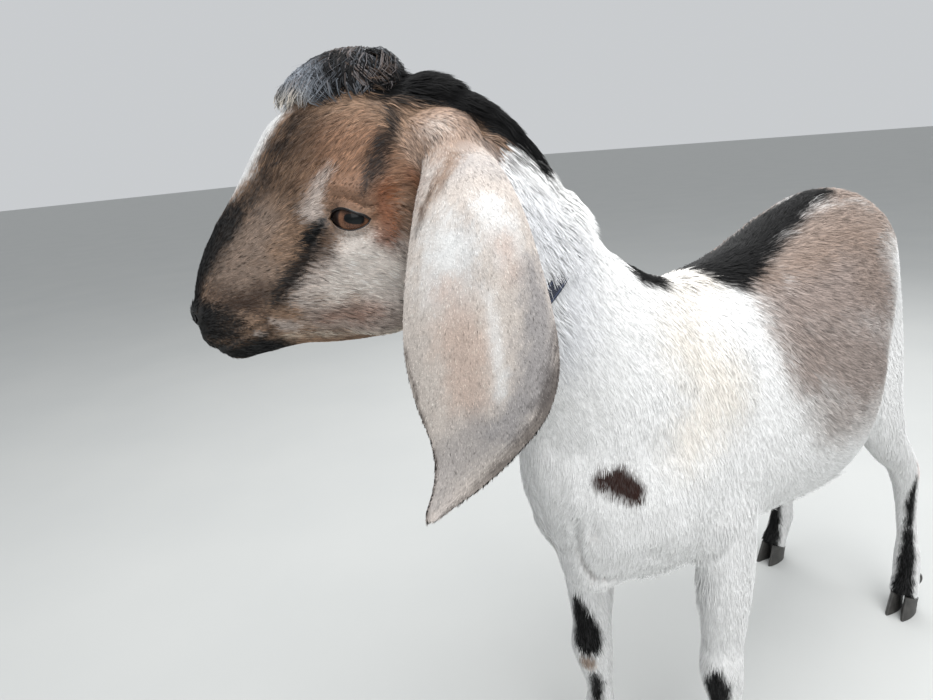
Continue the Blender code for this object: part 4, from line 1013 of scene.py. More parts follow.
# ---------------------------------------------------------------- growing the coat
def spread_roots(skin, density, rng):
    """Roots spread evenly over the skin: its triangle's corners and loops, and the share of each corner.

    density is the number of roots on a square mm at each vertex.
    """
    skin.data.calc_loop_triangles()
    corners = read_rows(skin.data.loop_triangles, 'vertices', 3, int)
    loops = read_rows(skin.data.loop_triangles, 'loops', 3, int)
    spots = points_of(skin) / MM
    a, b, c = (spots[corners[:, k]] for k in range(3))
    area = lengths(np.cross(b - a, c - a)) / 2
    total = np.cumsum(area * density[corners].mean(1))
    wanted = np.arange(rng.uniform(0, 1), total[-1], 1.0)
    chosen = np.searchsorted(total, wanted)
    u, v = rng.uniform(0, 1, (2, len(chosen)))
    flip = u + v > 1
    u, v = np.where(flip, 1 - u, u), np.where(flip, 1 - v, v)
    return corners[chosen], loops[chosen], np.column_stack([1 - u - v, u, v])


def at_roots(values, corners, shares):
    """Values of the skin's vertices as they are where each root stands."""
    return (values[corners] * shares[:, :, None]).sum(1)


class Roots:
    """Everything that is known where each tuft grows."""

    def __init__(self, skin, fields, density, rng):
        self.corners, self.loops, self.shares = spread_roots(skin, density, rng)
        self.points = at_roots(points_of(skin), self.corners, self.shares)
        self.normals = unit(at_roots(fields['normals'], self.corners, self.shares))
        lie = at_roots(fields['lie'], self.corners, self.shares)
        self.lie = unit(lie - self.normals * (lie * self.normals).sum(1)[:, None])
        self.labels = fields['labels'][self.corners[:, 0]]
        self.length = at_roots(fields['length'][:, None], self.corners, self.shares)[:, 0]
        self.uv = at_roots(fields['uv'], self.loops, self.shares)

    def part(self, keep):
        made = Roots.__new__(Roots)
        made.__dict__.update({k: v[keep] for k, v in vars(self).items()})
        return made


RING_WIDTHS, RING_HEIGHTS = (1.0, 0.82, 0.55), (1.0, 0.9, 0.7)     # of a tuft, from its root
UV_SIZE = 0.0015                                 # half the size of a tuft on the unwrap


def build_tufts(name, base, across, up, steps, widths, thick, tones, uv):
    """One mesh of closed tapered tufts. steps are the offsets of each ring's middle and of the tip."""
    count, rings = len(base), len(steps) - 1
    per = 3 * rings + 1
    spots, shade, bend = (np.empty((count, per, 3), np.float32) for _ in range(3))
    for r in range(rings):
        middle = base + steps[r]
        w = (widths * RING_WIDTHS[r])[:, None]
        t = (thick * RING_HEIGHTS[r])[:, None]
        spots[:, 3 * r] = middle - across * w
        spots[:, 3 * r + 1] = middle + across * w
        spots[:, 3 * r + 2] = middle + up * t
        for k, lean in enumerate((-0.55, 0.55, 0.0)):
            bend[:, 3 * r + k] = unit(up + across * lean)
            shade[:, 3 * r + k] = tones[r]
    spots[:, -1] = base + steps[-1]
    bend[:, -1] = up
    shade[:, -1] = tones[-1]
    faces = [(0, 2, 1)]
    for r in range(rings - 1):
        for a, b in ((0, 1), (1, 2), (2, 0)):
            p, q = 3 * r + a, 3 * r + b
            faces += [(p, q, q + 3), (p, q + 3, p + 3)]
    last = 3 * (rings - 1)
    faces += [(last, last + 1, per - 1), (last + 1, last + 2, per - 1), (last + 2, last, per - 1)]
    faces = np.array(faces)
    corners = (faces[None] + (np.arange(count) * per)[:, None, None]).reshape(-1)
    mesh = bpy.data.meshes.new(name)
    mesh.vertices.add(count * per)
    mesh.vertices.foreach_set('co', spots.ravel())
    mesh.loops.add(len(corners))
    mesh.loops.foreach_set('vertex_index', corners.astype(np.int32))
    total = len(corners) // 3
    mesh.polygons.add(total)
    mesh.polygons.foreach_set('loop_start', np.arange(total, dtype=np.int32) * 3)
    mesh.polygons.foreach_set('use_smooth', np.ones(total, bool))
    mesh.update(calc_edges=True)
    store_colours(mesh, shade.reshape(-1, 3))
    patch = np.empty((per, 2))
    for r in range(rings):
        v = -UV_SIZE + 2 * UV_SIZE * r / rings
        patch[3 * r:3 * r + 3] = [(-UV_SIZE, v), (UV_SIZE, v), (0.0, v)]
    patch[-1] = (0.0, UV_SIZE)
    place = (uv[:, None, :] + patch[None]).reshape(-1, 2)[corners]
    mesh.uv_layers.new(name='OFBake').data.foreach_set('uv', place.astype(np.float32).ravel())
    mesh.normals_split_custom_set_from_vertices(bend.reshape(-1, 3))
    return piece_of(name, mesh)


def gather(roots, per_mm, spacing, rng):
    """Share the roots out among clumps: the clump of each, and its leading root.

    per_mm is how many roots there are on a square millimetre, and spacing how far apart the clumps are, mm.
    """
    count = len(roots.points)
    leaders = rng.permutation(count)[:max(1, int(count * (count / per_mm / max(count, 1)) / spacing ** 2))]
    clump = np.array(nearest(tree_of(roots.points[leaders]), roots.points))
    return clump, leaders[clump]


def lay_on_skin(ends, fields, low, high):
    """Move points so that they lie between these heights over the skin, mm."""
    near = nearest(fields['tree'], ends)
    normals = fields['normals'][near]
    height = ((ends - fields['points'][near]) * normals).sum(1) / MM
    return ends + normals * ((np.clip(height, low, high) - height) * MM)[:, None]


def sweep(roots, length, lift, fall, sway, rings, pull, rng, fields, low, high):
    """Offsets along each tuft: it leaves the skin at a slope, lies down, sags, and leans to its clump's tip.

    lift is the slope at the root, fall how much it sags and pull how much it leans; the tuft ends between
    the heights low and high over the skin, mm.
    """
    across = np.cross(roots.normals, roots.lie)
    turned = unit(roots.lie + across * sway[:, None])
    steps = [-roots.normals * (0.5 * MM)]
    here = np.zeros_like(turned)
    for r in range(rings):
        t = (r + 0.5) / rings
        way = turned + roots.normals * (lift * (1 - 0.9 * t) ** 1.2)[:, None]
        if rings > 1:
            way = way + across * rng.normal(0, 0.05, len(length))[:, None]
        way[:, 2] -= fall * t
        here = here + unit(way) * (length / rings)[:, None]
        steps.append(here)
    for r in range(1, rings + 1):
        ends = roots.points + steps[r]
        ends = ends + (ends[roots.leader] - ends) * (pull * (r / rings) ** 1.5)
        steps[r] = lay_on_skin(ends, fields, low * (r / rings) ** 0.5, high) - roots.points
    return steps, unit(np.cross(roots.normals, turned))


LUMINANCE = (0.2126, 0.7152, 0.0722)
# Tips of tufts are brightened by this factor: painted light.
TIP_PAINTED_LIGHT = 1.12


def tinted(colours, roots, rings, rng, root_painted_shade=0.72, contrast=1.0):
    """Colours from root to tip: each clump a little darker or lighter, most so where the coat is grizzled.
    The root is darkened as painted shade deep in the coat and the tip lightened as painted light.
    """
    light = np.clip(colours @ LUMINANCE, 0, 1) ** (1 / 2.2)
    amount = 0.10 + 0.9 * np.clip(4 * (light - 0.08) * (0.97 - light), 0, 1)
    clump = rng.uniform(-1, 1, roots.clump.max() + 1)[roots.clump]
    change = (0.62 * clump + 0.38 * rng.uniform(-1, 1, len(colours))) * amount * contrast
    factor = np.where(change < 0, 1 + 0.95 * change, 1 + 0.75 * change)[:, None]
    tones = []
    for r in range(rings + 1):
        t = r / rings
        # Painted shade at the root running to painted light at the tip.
        shade = root_painted_shade * (1 - t) + TIP_PAINTED_LIGHT * t
        tones.append(np.clip(colours * shade * (1 + (factor - 1) * (0.35 + 0.65 * t)), 0, 1))
    return tones


FACE_HAIR, MUZZLE_HAIR, EAR_HAIR, EYE_HAIR, SPOT_HAIR = 8.0, 5.5, 4.0, 3.4, 6.5     # lengths, mm
UNDER_COLLAR = 6.6                               # how far the skin is bare beside the strap's middle, mm
NECK_REACH = 0.085                               # more than the neck's radius


def skin_fields(skin, rng):
    """What the coat needs to know at each vertex of the skin."""
    points, normals, pairs = points_of(skin), normals_of(skin), edges_of(skin)
    labels = nearest_node(points)
    lie = unit(blend_out(lie_of_coat(points, labels, normals), pairs, 24))
    uv = read_rows(skin.data.uv_layers['OFBake'].data, 'uv', 2, np.float32)
    vertex_uv = np.zeros((len(points), 2), np.float32)
    vertex_uv[read_rows(skin.data.loops, 'vertex_index', 1, int)[:, 0]] = uv
    run, round_neck = past_collar(points)
    bare = bare_places(points)
    bare[(np.abs(run) < UNDER_COLLAR) & round_neck & ~np.isin(labels, (SKULL,) + EARS)] = 1.0
    return {'points': points, 'normals': normals, 'labels': labels, 'lie': lie, 'pairs': pairs, 'uv': uv,
            'length': hair_length(points, labels, pairs), 'vertex_uv': vertex_uv, 'tree': tree_of(points),
            'bare': bare, 'colours': coat_colours(points, labels, rng)}


def hair_length(points, labels, pairs):
    """The length of the short coat at each vertex, mm, longest on the croup and finest round the eyes."""
    at = points / MM - [0, MIDLINE, 0]
    length = 10.5 + 4.5 * ramp(-at[:, 0], 0, 90)
    face = labels == SKULL
    length[face] = FACE_HAIR
    length[face & (into(points, HEAD)[:, 0] > 95)] = MUZZLE_HAIR
    length[np.isin(labels, EARS)] = EAR_HAIR
    for side in SIDES:
        by_eye = lengths(into(points, eye_frame(side))) < 25
        length[by_eye & face] = EYE_HAIR
    legs = np.isin(labels, LEGS)
    length[legs] = 9 + 5 * ramp(at[legs, 2], 120, 330)
    length[lengths(at - CHEST_SPOT) < 34] = SPOT_HAIR
    return blend_out(length[:, None], pairs, 12)[:, 0]


def collar_band():
    """The middle of the collar and the way through it towards the head."""
    points = np.array([v.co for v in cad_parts['collar'].data.vertices])
    middle = points.mean(0)
    axis = np.linalg.svd(points - middle, full_matrices=False)[2][2]
    return middle, axis * np.sign(axis @ (np.array(HEAD.translation) - middle))


def past_collar(points):
    """How far each point lies from the collar towards the head, mm, and whether it is on the neck there."""
    middle, axis = collar_band()
    run = (points - middle) @ axis
    out = lengths(points - middle - run[:, None] * axis)
    return run / MM, out < NECK_REACH


def bare_places(points):
    """1 where the skin shows no hair: nostrils, lips and the edges of the lids."""
    local = into(points, HEAD)
    bare = np.zeros(len(points))
    near = local[:, 0] > 100
    gap, _ = path_gap(local[near], mouth_line())
    made = 1 - ramp(gap, 1.0, 2.4)
    for side in SIDES:
        path = nostril_path(side)
        gap, _ = path_gap(local[near], path[:, :3], path[:, 3])
        made = np.maximum(made, 1 - ramp(gap, 2.0, 4.0))
    made = np.maximum(made, (1 - ramp(np.abs(local[near, 1]), 6, 10)) * ramp(local[near, 0], 146, 150)
                      * (local[near, 2] < -58))
    bare[near] = made
    for side in SIDES:
        q = into(points, eye_frame(side))
        close = (lengths(q) < 24) & (q[:, 0] > -3)
        flat = unrolled(q[close]) * [side, 1]
        gap, _ = outline_gap(flat, unrolled(on_ball(lid_outline(), BALL)))
        bare[close] = np.maximum(bare[close], 1 - ramp(gap, 0.3, 0.9))
    return bare


def unwrap(skin):
    work_all_over(skin, bpy.ops.uv.smart_project, angle_limit=math.radians(66), island_margin=0.002)
    skin.data.uv_layers[0].name = 'OFBake'


def store_colours(mesh, values):
    layer = mesh.color_attributes.new('Coat', 'FLOAT_COLOR', 'POINT')
    flat = np.ones((len(values), 4), np.float32)
    flat[:, :3] = values
    layer.data.foreach_set('color', flat.ravel())


def store_number(thing, name, values):
    layer = thing.data.attributes.new(name, 'FLOAT', 'POINT')
    layer.data.foreach_set('value', np.asarray(values, np.float32))


FACE_DENSITY, EAR_DENSITY, LEG_DENSITY, BODY_DENSITY = 0.9, 0.6, 0.28, 0.235      # tufts on a square mm
SHOULDER = 20                                    # x where shoulder and flank meet, mm
FINE_CLUMPS, COARSE_CLUMPS = 1.6, 3.2            # distance between clumps, mm


def short_coat(skin, fields, rng):
    """Fine flat tufts over the whole skin, shorter and closer on the head and ears."""
    labels, points = fields['labels'], fields['points']
    density = np.full(len(points), BODY_DENSITY)
    density[labels == SKULL] = FACE_DENSITY
    density[np.isin(labels, EARS)] = EAR_DENSITY
    density[np.isin(labels, LEGS)] = LEG_DENSITY
    density[np.isin(labels, HINDLEGS) & (points[:, 2] > 0.3)] = 0.5 * LEG_DENSITY
    density = blend_out(density[:, None], fields['pairs'], 6)[:, 0] * (1 - fields['bare'])
    roots = Roots(skin, fields, density, rng)
    y, x = roots.points[:, 1] / MM - MIDLINE, roots.points[:, 0] / MM
    trunk = np.isin(roots.labels, (TORSO, TAIL))
    face = roots.labels == SKULL
    left = into(roots.points, HEAD)[:, 1] > 0
    groups = [('coat_face_left', face & left, FACE_DENSITY), ('coat_face_right', face & ~left, FACE_DENSITY),
              ('coat_ear_left', roots.labels == EARS[0], EAR_DENSITY),
              ('coat_ear_right', roots.labels == EARS[1], EAR_DENSITY),
              ('coat_neck', roots.labels == NECK, BODY_DENSITY),
              ('coat_forelegs', np.isin(roots.labels, FORELEGS), LEG_DENSITY),
              ('coat_hindlegs', np.isin(roots.labels, HINDLEGS), LEG_DENSITY),
              ('coat_shoulder_left', trunk & (x > SHOULDER) & (y > 0), BODY_DENSITY),
              ('coat_shoulder_right', trunk & (x > SHOULDER) & (y <= 0), BODY_DENSITY),
              ('coat_flank_left', trunk & (x <= SHOULDER) & (y > 0), BODY_DENSITY),
              ('coat_flank_right', trunk & (x <= SHOULDER) & (y <= 0), BODY_DENSITY)]
    return [short_piece(name, fields, roots.part(group), per_mm, rng) for name, group, per_mm in groups]


def short_piece(name, fields, roots, per_mm, rng):
    """Tufts of one ring and a tip, which lie flatter and finer on the face and flattest on the ears."""
    count = len(roots.points)
    on_ear, face = np.isin(roots.labels, EARS), roots.labels == SKULL
    fine = on_ear | face

    def by_place(ear, head, body):
        return np.where(on_ear, ear, np.where(fine, head, body))

    roots.clump, roots.leader = gather(roots, per_mm, FINE_CLUMPS if fine.any() else COARSE_CLUMPS, rng)
    length = roots.length * rng.uniform(0.75, 1.2, count) * MM
    colours = coat_colours(roots.points, roots.labels, rng)
    sway = rng.normal(0, 0.12, count) + rng.normal(0, 0.10, count)[roots.leader]
    lift = 0.12 + 0.12 * rng.random(count)
    high = by_place(0.6, 1.0, 1.8) * rng.uniform(0.7, 1.5, count)
    low = by_place(0.3, 0.45, 0.75) * rng.uniform(0.5, 1.2, count)
    steps, across = sweep(roots, length, lift, 0.0, sway, 1, 0.42, rng, fields, low, high)
    wide = by_place(0.34, 0.31, 0.56) * MM * rng.uniform(0.8, 1.25, count)
    tones = tinted(colours, roots, 1, rng, contrast=by_place(1.5, 1.75, 1.1))
    return build_tufts(name, roots.points, across, roots.normals, steps, wide, wide * 0.8, tones, roots.uv)


# ---------------------------------------------------------------- long hair
LOCK_RINGS = 3                                   # of each lock of the topknot and tail, besides its tip
DOME = (0.047, 0.027, 0.0265)                    # radii of the topknot


WHORL = np.array([-0.62, 0, 0.78])               # the way from the middle of the topknot to its whorl
KNOT_CLUMPS, KNOT_LOCKS = 330, 17                # clumps of the topknot, and locks in each


def on_dome(out, turn, reach):
    """Points on the topknot, out degrees from its whorl and turned about it."""
    ahead = np.cross([0, 1, 0], WHORL)
    out, turn = np.radians(out)[:, None], np.radians(turn)[:, None]
    way = WHORL * np.cos(out) + (ahead * np.cos(turn) + np.array([0, 1, 0]) * np.sin(turn)) * np.sin(out)
    way = way * np.array(DOME) * reach[:, None]
    lean = np.array(Matrix.Rotation(TOPKNOT_LEAN, 3, 'Y'))
    return out_of((way @ lean.T + np.array(TOPKNOT)) / MM, HEAD)


def locks_along(name, path, outward, wide, tones, uv):
    """Tapered locks through a list of point arrays, root to tip."""
    base = path[0]
    along = unit(path[-1] - path[0])
    across = unit(np.cross(outward, along))
    up = unit(np.cross(along, across))
    steps = [p - base for p in path]
    return build_tufts(name, base, across, up, steps, wide, wide * 0.7, tones, uv)


def uv_near(fields, points):
    """The place on the unwrap of the nearest vertex of the skin."""
    return fields['vertex_uv'][nearest(fields['tree'], points)]


def topknot(fields, rng):
    """Silky locks that start at the whorl and lie forward and down over each other in clumps."""
    middle_out = rng.uniform(0, 1, KNOT_CLUMPS) ** 0.8 * 74
    middle_turn = rng.uniform(-180, 180, KNOT_CLUMPS)
    swirl = rng.normal(16, 20, KNOT_CLUMPS)
    layer = rng.uniform(0.74, 1.0, KNOT_CLUMPS) ** 0.7
    rim = 58 + 56 * np.abs(np.cos(np.radians(middle_turn / 2)))
    run = np.minimum(rng.uniform(30, 58, KNOT_CLUMPS), np.maximum(rim - middle_out, 12))
    own = np.repeat(np.arange(KNOT_CLUMPS), KNOT_LOCKS)
    count = len(own)
    first_out = middle_out[own] + rng.normal(0, 4.5, count)
    narrow = np.sin(np.radians(np.clip(middle_out[own], 14, 90)))
    first_turn = middle_turn[own] + rng.normal(0, 1, count) * 8 / narrow
    path = []
    for j, reach in enumerate((0.90, 0.99, 0.985, 0.93)):
        t = j / LOCK_RINGS
        ahead = first_out + run[own] * t * rng.uniform(0.93, 1.07, count)
        turn = first_turn + swirl[own] * t * t
        goal = middle_turn[own] + swirl[own] * t * t
        turn = turn + (goal - turn) * 0.62 * t
        path.append(on_dome(ahead, turn, layer[own] * reach + rng.normal(0, 0.012, count)))
    wisp = rng.random(count) < 0.05
    path[-1][wisp] += turn_with(unit(rng.normal([0, 0, 0.8], 0.5, (wisp.sum(), 3))) * 0.006, HEAD)
    middle = out_of(np.array([[TOPKNOT.x, TOPKNOT.y, TOPKNOT.z]]) / MM, HEAD)
    tones = topknot_tones(path, own, rng)
    wide = 0.5 * MM * rng.uniform(0.7, 1.3, count)
    return locks_along('topknot', path, unit(path[1] - middle), wide, tones, uv_near(fields, path[0]))


def topknot_tones(path, own, rng):
    """Silver locks in front, black ones on top and behind, and pale ends along the rim; each lock is darker
    at its root and lighter towards its tip, as painted shade and painted light.
    """
    tones = []
    streaked = colour('#5f4e43')
    pick_one = rng.random(KNOT_CLUMPS)[own]
    single = rng.random(len(own))
    for j, points in enumerate(path):
        local = into(points, HEAD)
        ahead = ramp(local[:, 0], 38, 70)
        silver = np.clip(ahead * 1.2 + 0.5 * (pick_one - 0.5) + 0.6 * (single - 0.5), 0, 1)
        base = INK * 1.3 * (1 - silver[:, None]) + SILVER * silver[:, None]
        streak = (pick_one > 0.84) * 0.6 + (single > 0.92) * 0.35
        tone = base * (1 - 0.6 * streak[:, None]) + streaked * 0.6 * streak[:, None]
        pale = ramp(local[:, 0], 54, 70) * (1 - ramp(local[:, 2], 66, 84)) * (0.5 + 0.5 * (single > 0.35))
        tone = tone * (1 - pale[:, None]) + CREAM * 0.9 * pale[:, None]
        # Darker at the root and lighter at the tip: painted shade and painted light.
        tones.append(np.clip(tone * (0.8 + 0.3 * j / LOCK_RINGS) * (0.82 + 0.36 * single[:, None]), 0, 1))
    return tones


def stroke_field(points, path, soft):
    """1 within a stroke of path points and radii, falling to 0 over its soft edge."""
    path = np.array(path, float)
    gap, _ = path_gap(points, path[:, :3], path[:, 3])
    return 1 - ramp(gap, 0, soft)


LONG_HAIR = {       # tufts on a square mm, length, lift, fall, half width, distance of clumps, height; mm
    'crest': (0.8, 18.0, 0.24, 0.1, 0.4, 4.5, 5.0),
    'ruff': (0.82, 24.0, 0.30, 0.2, 0.36, 4.0, 5.5),
    'stripe': (0.16, 20.0, 0.22, 0.0, 0.5, 4.5, 4.5),
    'fringe': (0.11, 20.0, 0.30, 0.5, 0.5, 6.0, 9.0)}
LONG_RINGS, LONG_PULL = 2, 0.5


def long_piece(name, skin, fields, share, rng, over=None):
    """Longer hair where share is above 0; over tells at each vertex how much it has to clear the collar."""
    per_mm, length, lift, fall, wide, spacing, high = LONG_HAIR[name]
    roots = Roots(skin, {**fields, 'length': np.full(len(share), length)}, share * per_mm, rng)
    roots.clump, roots.leader = gather(roots, per_mm, spacing, rng)
    count = len(roots.points)
    run = roots.length * rng.uniform(0.7, 1.2, count) * MM
    sway = rng.normal(0, 0.16, count) + rng.normal(0, 0.14, count)[roots.leader]
    rise = lift * rng.uniform(0.6, 1.4, count)
    low = np.full(count, 0.9)
    if over is not None:
        low = low + over[nearest(fields['tree'], roots.points)] * rng.uniform(5.6, 8.2, count)
    steps, across = sweep(roots, run, rise, fall, sway, LONG_RINGS, LONG_PULL, rng, fields, low,
                          np.maximum(high * rng.uniform(0.4, 1.15, count), low))
    tones = tinted(coat_colours(roots.points, roots.labels, rng), roots, LONG_RINGS, rng, root_painted_shade=0.84)
    half = wide * MM * rng.uniform(0.7, 1.3, count)
    return build_tufts(name, roots.points, across, roots.normals, steps, half, half * 0.7, tones, roots.uv)


# Paths of the longer hair: x, y, z and radius, mm. Crest and ruff are measured in the head's frame.
CREST = [(8, 6, 84, 16), (-30, 4, 78, 20), (-62, 0, 58, 18), (-92, -8, 28, 14), (-118, -18, -2, 10),
         (-150, -34, -40, 6)]
RUFF = [(-44, 44, 20, 14), (-58, 50, -10, 20), (-66, 50, -50, 22), (-76, 48, -92, 18)]
STRIPE = [(130, 0, 590, 16), (80, 0, 568, 14), (-4, 0, 562, 14), (-26, 10, 560, 20), (-80, 8, 572, 20),
          (-150, 6, 592, 19), (-200, 4, 608, 17), (-250, 0, 606, 15), (-330, 0, 590, 13), (-400, 0, 570, 12)]
BELLY = [(160, 0, 372, 22), (100, 30, 300, 18), (40, 40, 268, 22), (-60, 30, 262, 26), (-170, 40, 290, 24)]
ELBOW = [(18, 62, 330, 8), (20, 60, 290, 7), (24, 58, 262, 5)]


def long_hair(skin, fields, rng):
    """Crest, ruff over the collar, stripe along the back, and the fringe of chest, belly and elbows."""
    points, labels = fields['points'], fields['labels']
    head = into(points, HEAD)
    even = head * side_signs(head)
    at = points / MM - [0, MIDLINE, 0]
    both = at * side_signs(at)
    open_skin = ~np.isin(labels, EARS) & (fields['bare'] < 0.3)
    run, round_neck = past_collar(points)
    over_collar = ramp(run, 5.5, 8) * (1 - ramp(run, 18, 30)) * round_neck * ramp(head[:, 2], -54, -44)
    crest = stroke_field(even, CREST, 9) * open_skin
    ruff = np.maximum(stroke_field(even, RUFF, 16), 1.5 * over_collar) * open_skin * (labels != SKULL)
    stripe = stroke_field(both, STRIPE, 12) * open_skin
    fringe = stroke_field(both, BELLY, 18) * open_skin
    fringe = np.maximum(fringe, 1.6 * (stroke_field(both, ELBOW, 9) * open_skin))
    return [long_piece('crest', skin, fields, crest, rng),
            long_piece('ruff', skin, fields, ruff, rng, over_collar),
            long_piece('stripe', skin, fields, stripe, rng),
            long_piece('fringe', skin, fields, fringe, rng)]


TAIL_ROWS = [(-337.5, 546, 56), (-344, 522, 58), (-348, 496, 56), (-350, 470, 50)]   # x, z and length, mm
TAIL_CLUMPS, TAIL_LOCKS = 90, 14
# Factors darker at the root and lighter at the tip: painted shade and painted light along each lock.
TAIL_ROOT_SHADE_TIP_LIGHT = (0.8, 0.95, 1.1, 1.25)             # from the root of each lock


def tail_hair(fields, rng):
    """Locks along the dock that spread to both sides and hang past its tip."""
    place = rng.uniform(0, 1, TAIL_CLUMPS)
    lead = np.array(TAIL_ROWS)
    at = [np.interp(place, np.linspace(0, 1, len(lead)), lead[:, k]) for k in range(3)]
    side = rng.uniform(-1.35, 1.35, TAIL_CLUMPS)
    own = np.repeat(np.arange(TAIL_CLUMPS), TAIL_LOCKS)
    count = len(own)
    spread = side[own] + rng.normal(0, 0.12, count)
    run = at[2][own] * rng.uniform(0.75, 1.12, count)
    start = at[1][own] + rng.normal(0, 4, count)
    sunk = rng.uniform(0, 4.5, count)
    out, back = np.sin(spread), np.cos(spread)
    path = []
    for j in range(LOCK_RINGS + 1):
        t = j / LOCK_RINGS
        swell = math.sin(math.pi / 2 * min(1.0, 0.2 + 0.95 * t))
        drawn = (side[own] - spread) * 0.5 * t
        sway = out + np.cos(spread) * drawn
        path.append(np.column_stack([at[0][own] + sunk - (4 + 13.5 * swell) * back - 4 * t,
                                     3 + sway * (4 + (18 - 7 * t) * swell - 0.5 * sunk),
                                     start - run * t + 4 * back]) * MM - np.array(CENTRE))
    tone = np.tile(INK * 1.3, (count, 1)) * rng.uniform(0.6, 1.5, count)[:, None]
    grey = (rng.random(TAIL_CLUMPS)[own] > 0.86)[:, None]
    tone = np.where(grey, tone + colour('#4a4442') * 0.6, tone)
    outward = np.column_stack([-back - 0.2, out, 0.1 + 0 * out])
    wide = 0.6 * MM * rng.uniform(0.7, 1.3, count)
    # Painted shade at the roots, painted light at the tips.
    tones = [tone * k for k in TAIL_ROOT_SHADE_TIP_LIGHT]
    return locks_along('tail_hair', path, outward, wide, tones, uv_near(fields, path[0]))


# ---------------------------------------------------------------- eyes, feet and collar
GAZE = Vector((0.883, 0.441, -0.165))            # the way the pupil looks, in the eye's frame
PUPIL_TILT = math.radians(10)
BACK_OF_BALL = 40                                # stands for far from the iris, mm


def eyeball(side):
    """A ball that knows how far each point lies across and above the middle of the iris, mm."""
    bpy.ops.mesh.primitive_uv_sphere_add(segments=96, ring_count=64, radius=EYE_RADIUS)
    thing = bpy.context.object
    thing.name = 'eyeball_' + side_word(side)
    points = points_of(thing) / MM
    ahead = np.array(GAZE.normalized())
    rear = unit(np.cross([0, 0, 1], ahead))
    rise = np.cross(ahead, rear)
    across = rear * math.cos(PUPIL_TILT) - rise * math.sin(PUPIL_TILT)
    above = rise * math.cos(PUPIL_TILT) + rear * math.sin(PUPIL_TILT)
    mirrored = points * [1, side, 1]
    depth = mirrored @ ahead
    store_number(thing, 'across', np.where(depth > 0, mirrored @ across, BACK_OF_BALL))
    store_number(thing, 'above', np.where(depth > 0, mirrored @ above, BACK_OF_BALL))
    thing.data.transform(eye_frame(side))
    smooth(thing)
    return thing


TUBE_SIDES = 10


def tube(name, path, radii):
    """A round tube along a path of world points that closes on itself."""
    count, middle = len(path), path.mean(0)
    points, faces = [], []
    for k in range(count):
        after = (k + 1) % count
        along = unit(path[after] - path[k - 1])
        out = unit(path[k] - middle - along * ((path[k] - middle) @ along))
        up = np.cross(along, out)
        for j, t in enumerate(ring_angles(TUBE_SIDES)):
            points.append(path[k] + (out * math.cos(t) + up * math.sin(t)) * radii[k])
            beside = (j + 1) % TUBE_SIDES
            faces.append((k * TUBE_SIDES + j, k * TUBE_SIDES + beside,
                          after * TUBE_SIDES + beside, after * TUBE_SIDES + j))
    thing = new_piece(name, points, faces)
    smooth(thing)
    return thing


def lid_rim(side):
    """The dark moist edge of both lids, thicker above."""
    flat = lid_outline(8)
    count = len(flat)
    radii = [0.95 if k < count / 2 else 0.55 for k in range(count)]
    ring = on_ball(flat, BALL + 0.75) * [1, side, 1]
    return tube('lid_rim_' + side_word(side), out_of(ring, eye_frame(side)), np.array(radii) * MM)


def tear_corner(side):
    """The small dark fold in the inner corner of the eye."""
    place = on_ball(np.array([[-11.4, -1.3]]), BALL - 0.1)[0] * [1, side, 1]
    return egg('tear_corner_' + side_word(side), place, (1.2, 2.2, 1.2), 0.0, eye_frame(side))


LASHES = 46                                      # on each lid
LASH_CURVE = ((0, 0), (0.35, 0.02), (0.7, 0.10), (1.0, 0.26))      # run along and bend off its line


def lashes(fields, rng):
    """Fine dark lashes along the upper lids, swept back and down."""
    path = [[] for _ in LASH_CURVE]
    for side in SIDES:
        edge = spline(UPPER_LID, 10)[6:-4]
        spots = edge[np.sort(rng.integers(0, len(edge), LASHES))] + rng.normal(0, 0.15, (LASHES, 2))
        base = on_ball(spots, BALL + 1.5) * [1, side, 1]
        out = unit(base)
        way = np.full((LASHES, 3), (0.75, 0.0, -0.30))
        way[:, 1] = side * (0.35 + 0.03 * spots[:, 0])
        way += rng.normal(0, 0.10, way.shape)
        long = rng.uniform(5.0, 8.5, LASHES)[:, None]
        for j, (a, b) in enumerate(LASH_CURVE):
            local = base + (out * 0.5 + way * 0.7) * long * a + np.array([0, side * 0.3, 0.6]) * long * b
            path[j].append(out_of(local, eye_frame(side)))
    path = [np.vstack(p) for p in path]
    count = len(path[0])
    tone = np.tile(INK, (count, 1))
    up = np.tile([0.0, 0.0, 1.0], (count, 1))
    return locks_along('lashes', path, up, np.full(count, 0.11 * MM), [tone] * len(path),
                       uv_near(fields, path[0]))


HOOF_TOE, CLAW_WIDTH, CLAW_SPREAD, CORONET, CORONET_SLOPE = 46, 16.6, 9.2, 26.2, 0.42      # mm
CLAW_LEVELS = (0.0, 0.02, 0.06, 0.14, 0.24, 0.34, 0.44, 0.54, 0.64, 0.74, 0.84, 0.93, 1.0)
CLAW_POINTS = 44                                 # in each ring of a claw
FORE_DEW, HIND_DEW = 47, 44                      # height of the dewclaws, mm
DEW_SIZE = (0.0062, 0.0052, 0.0082, 1)


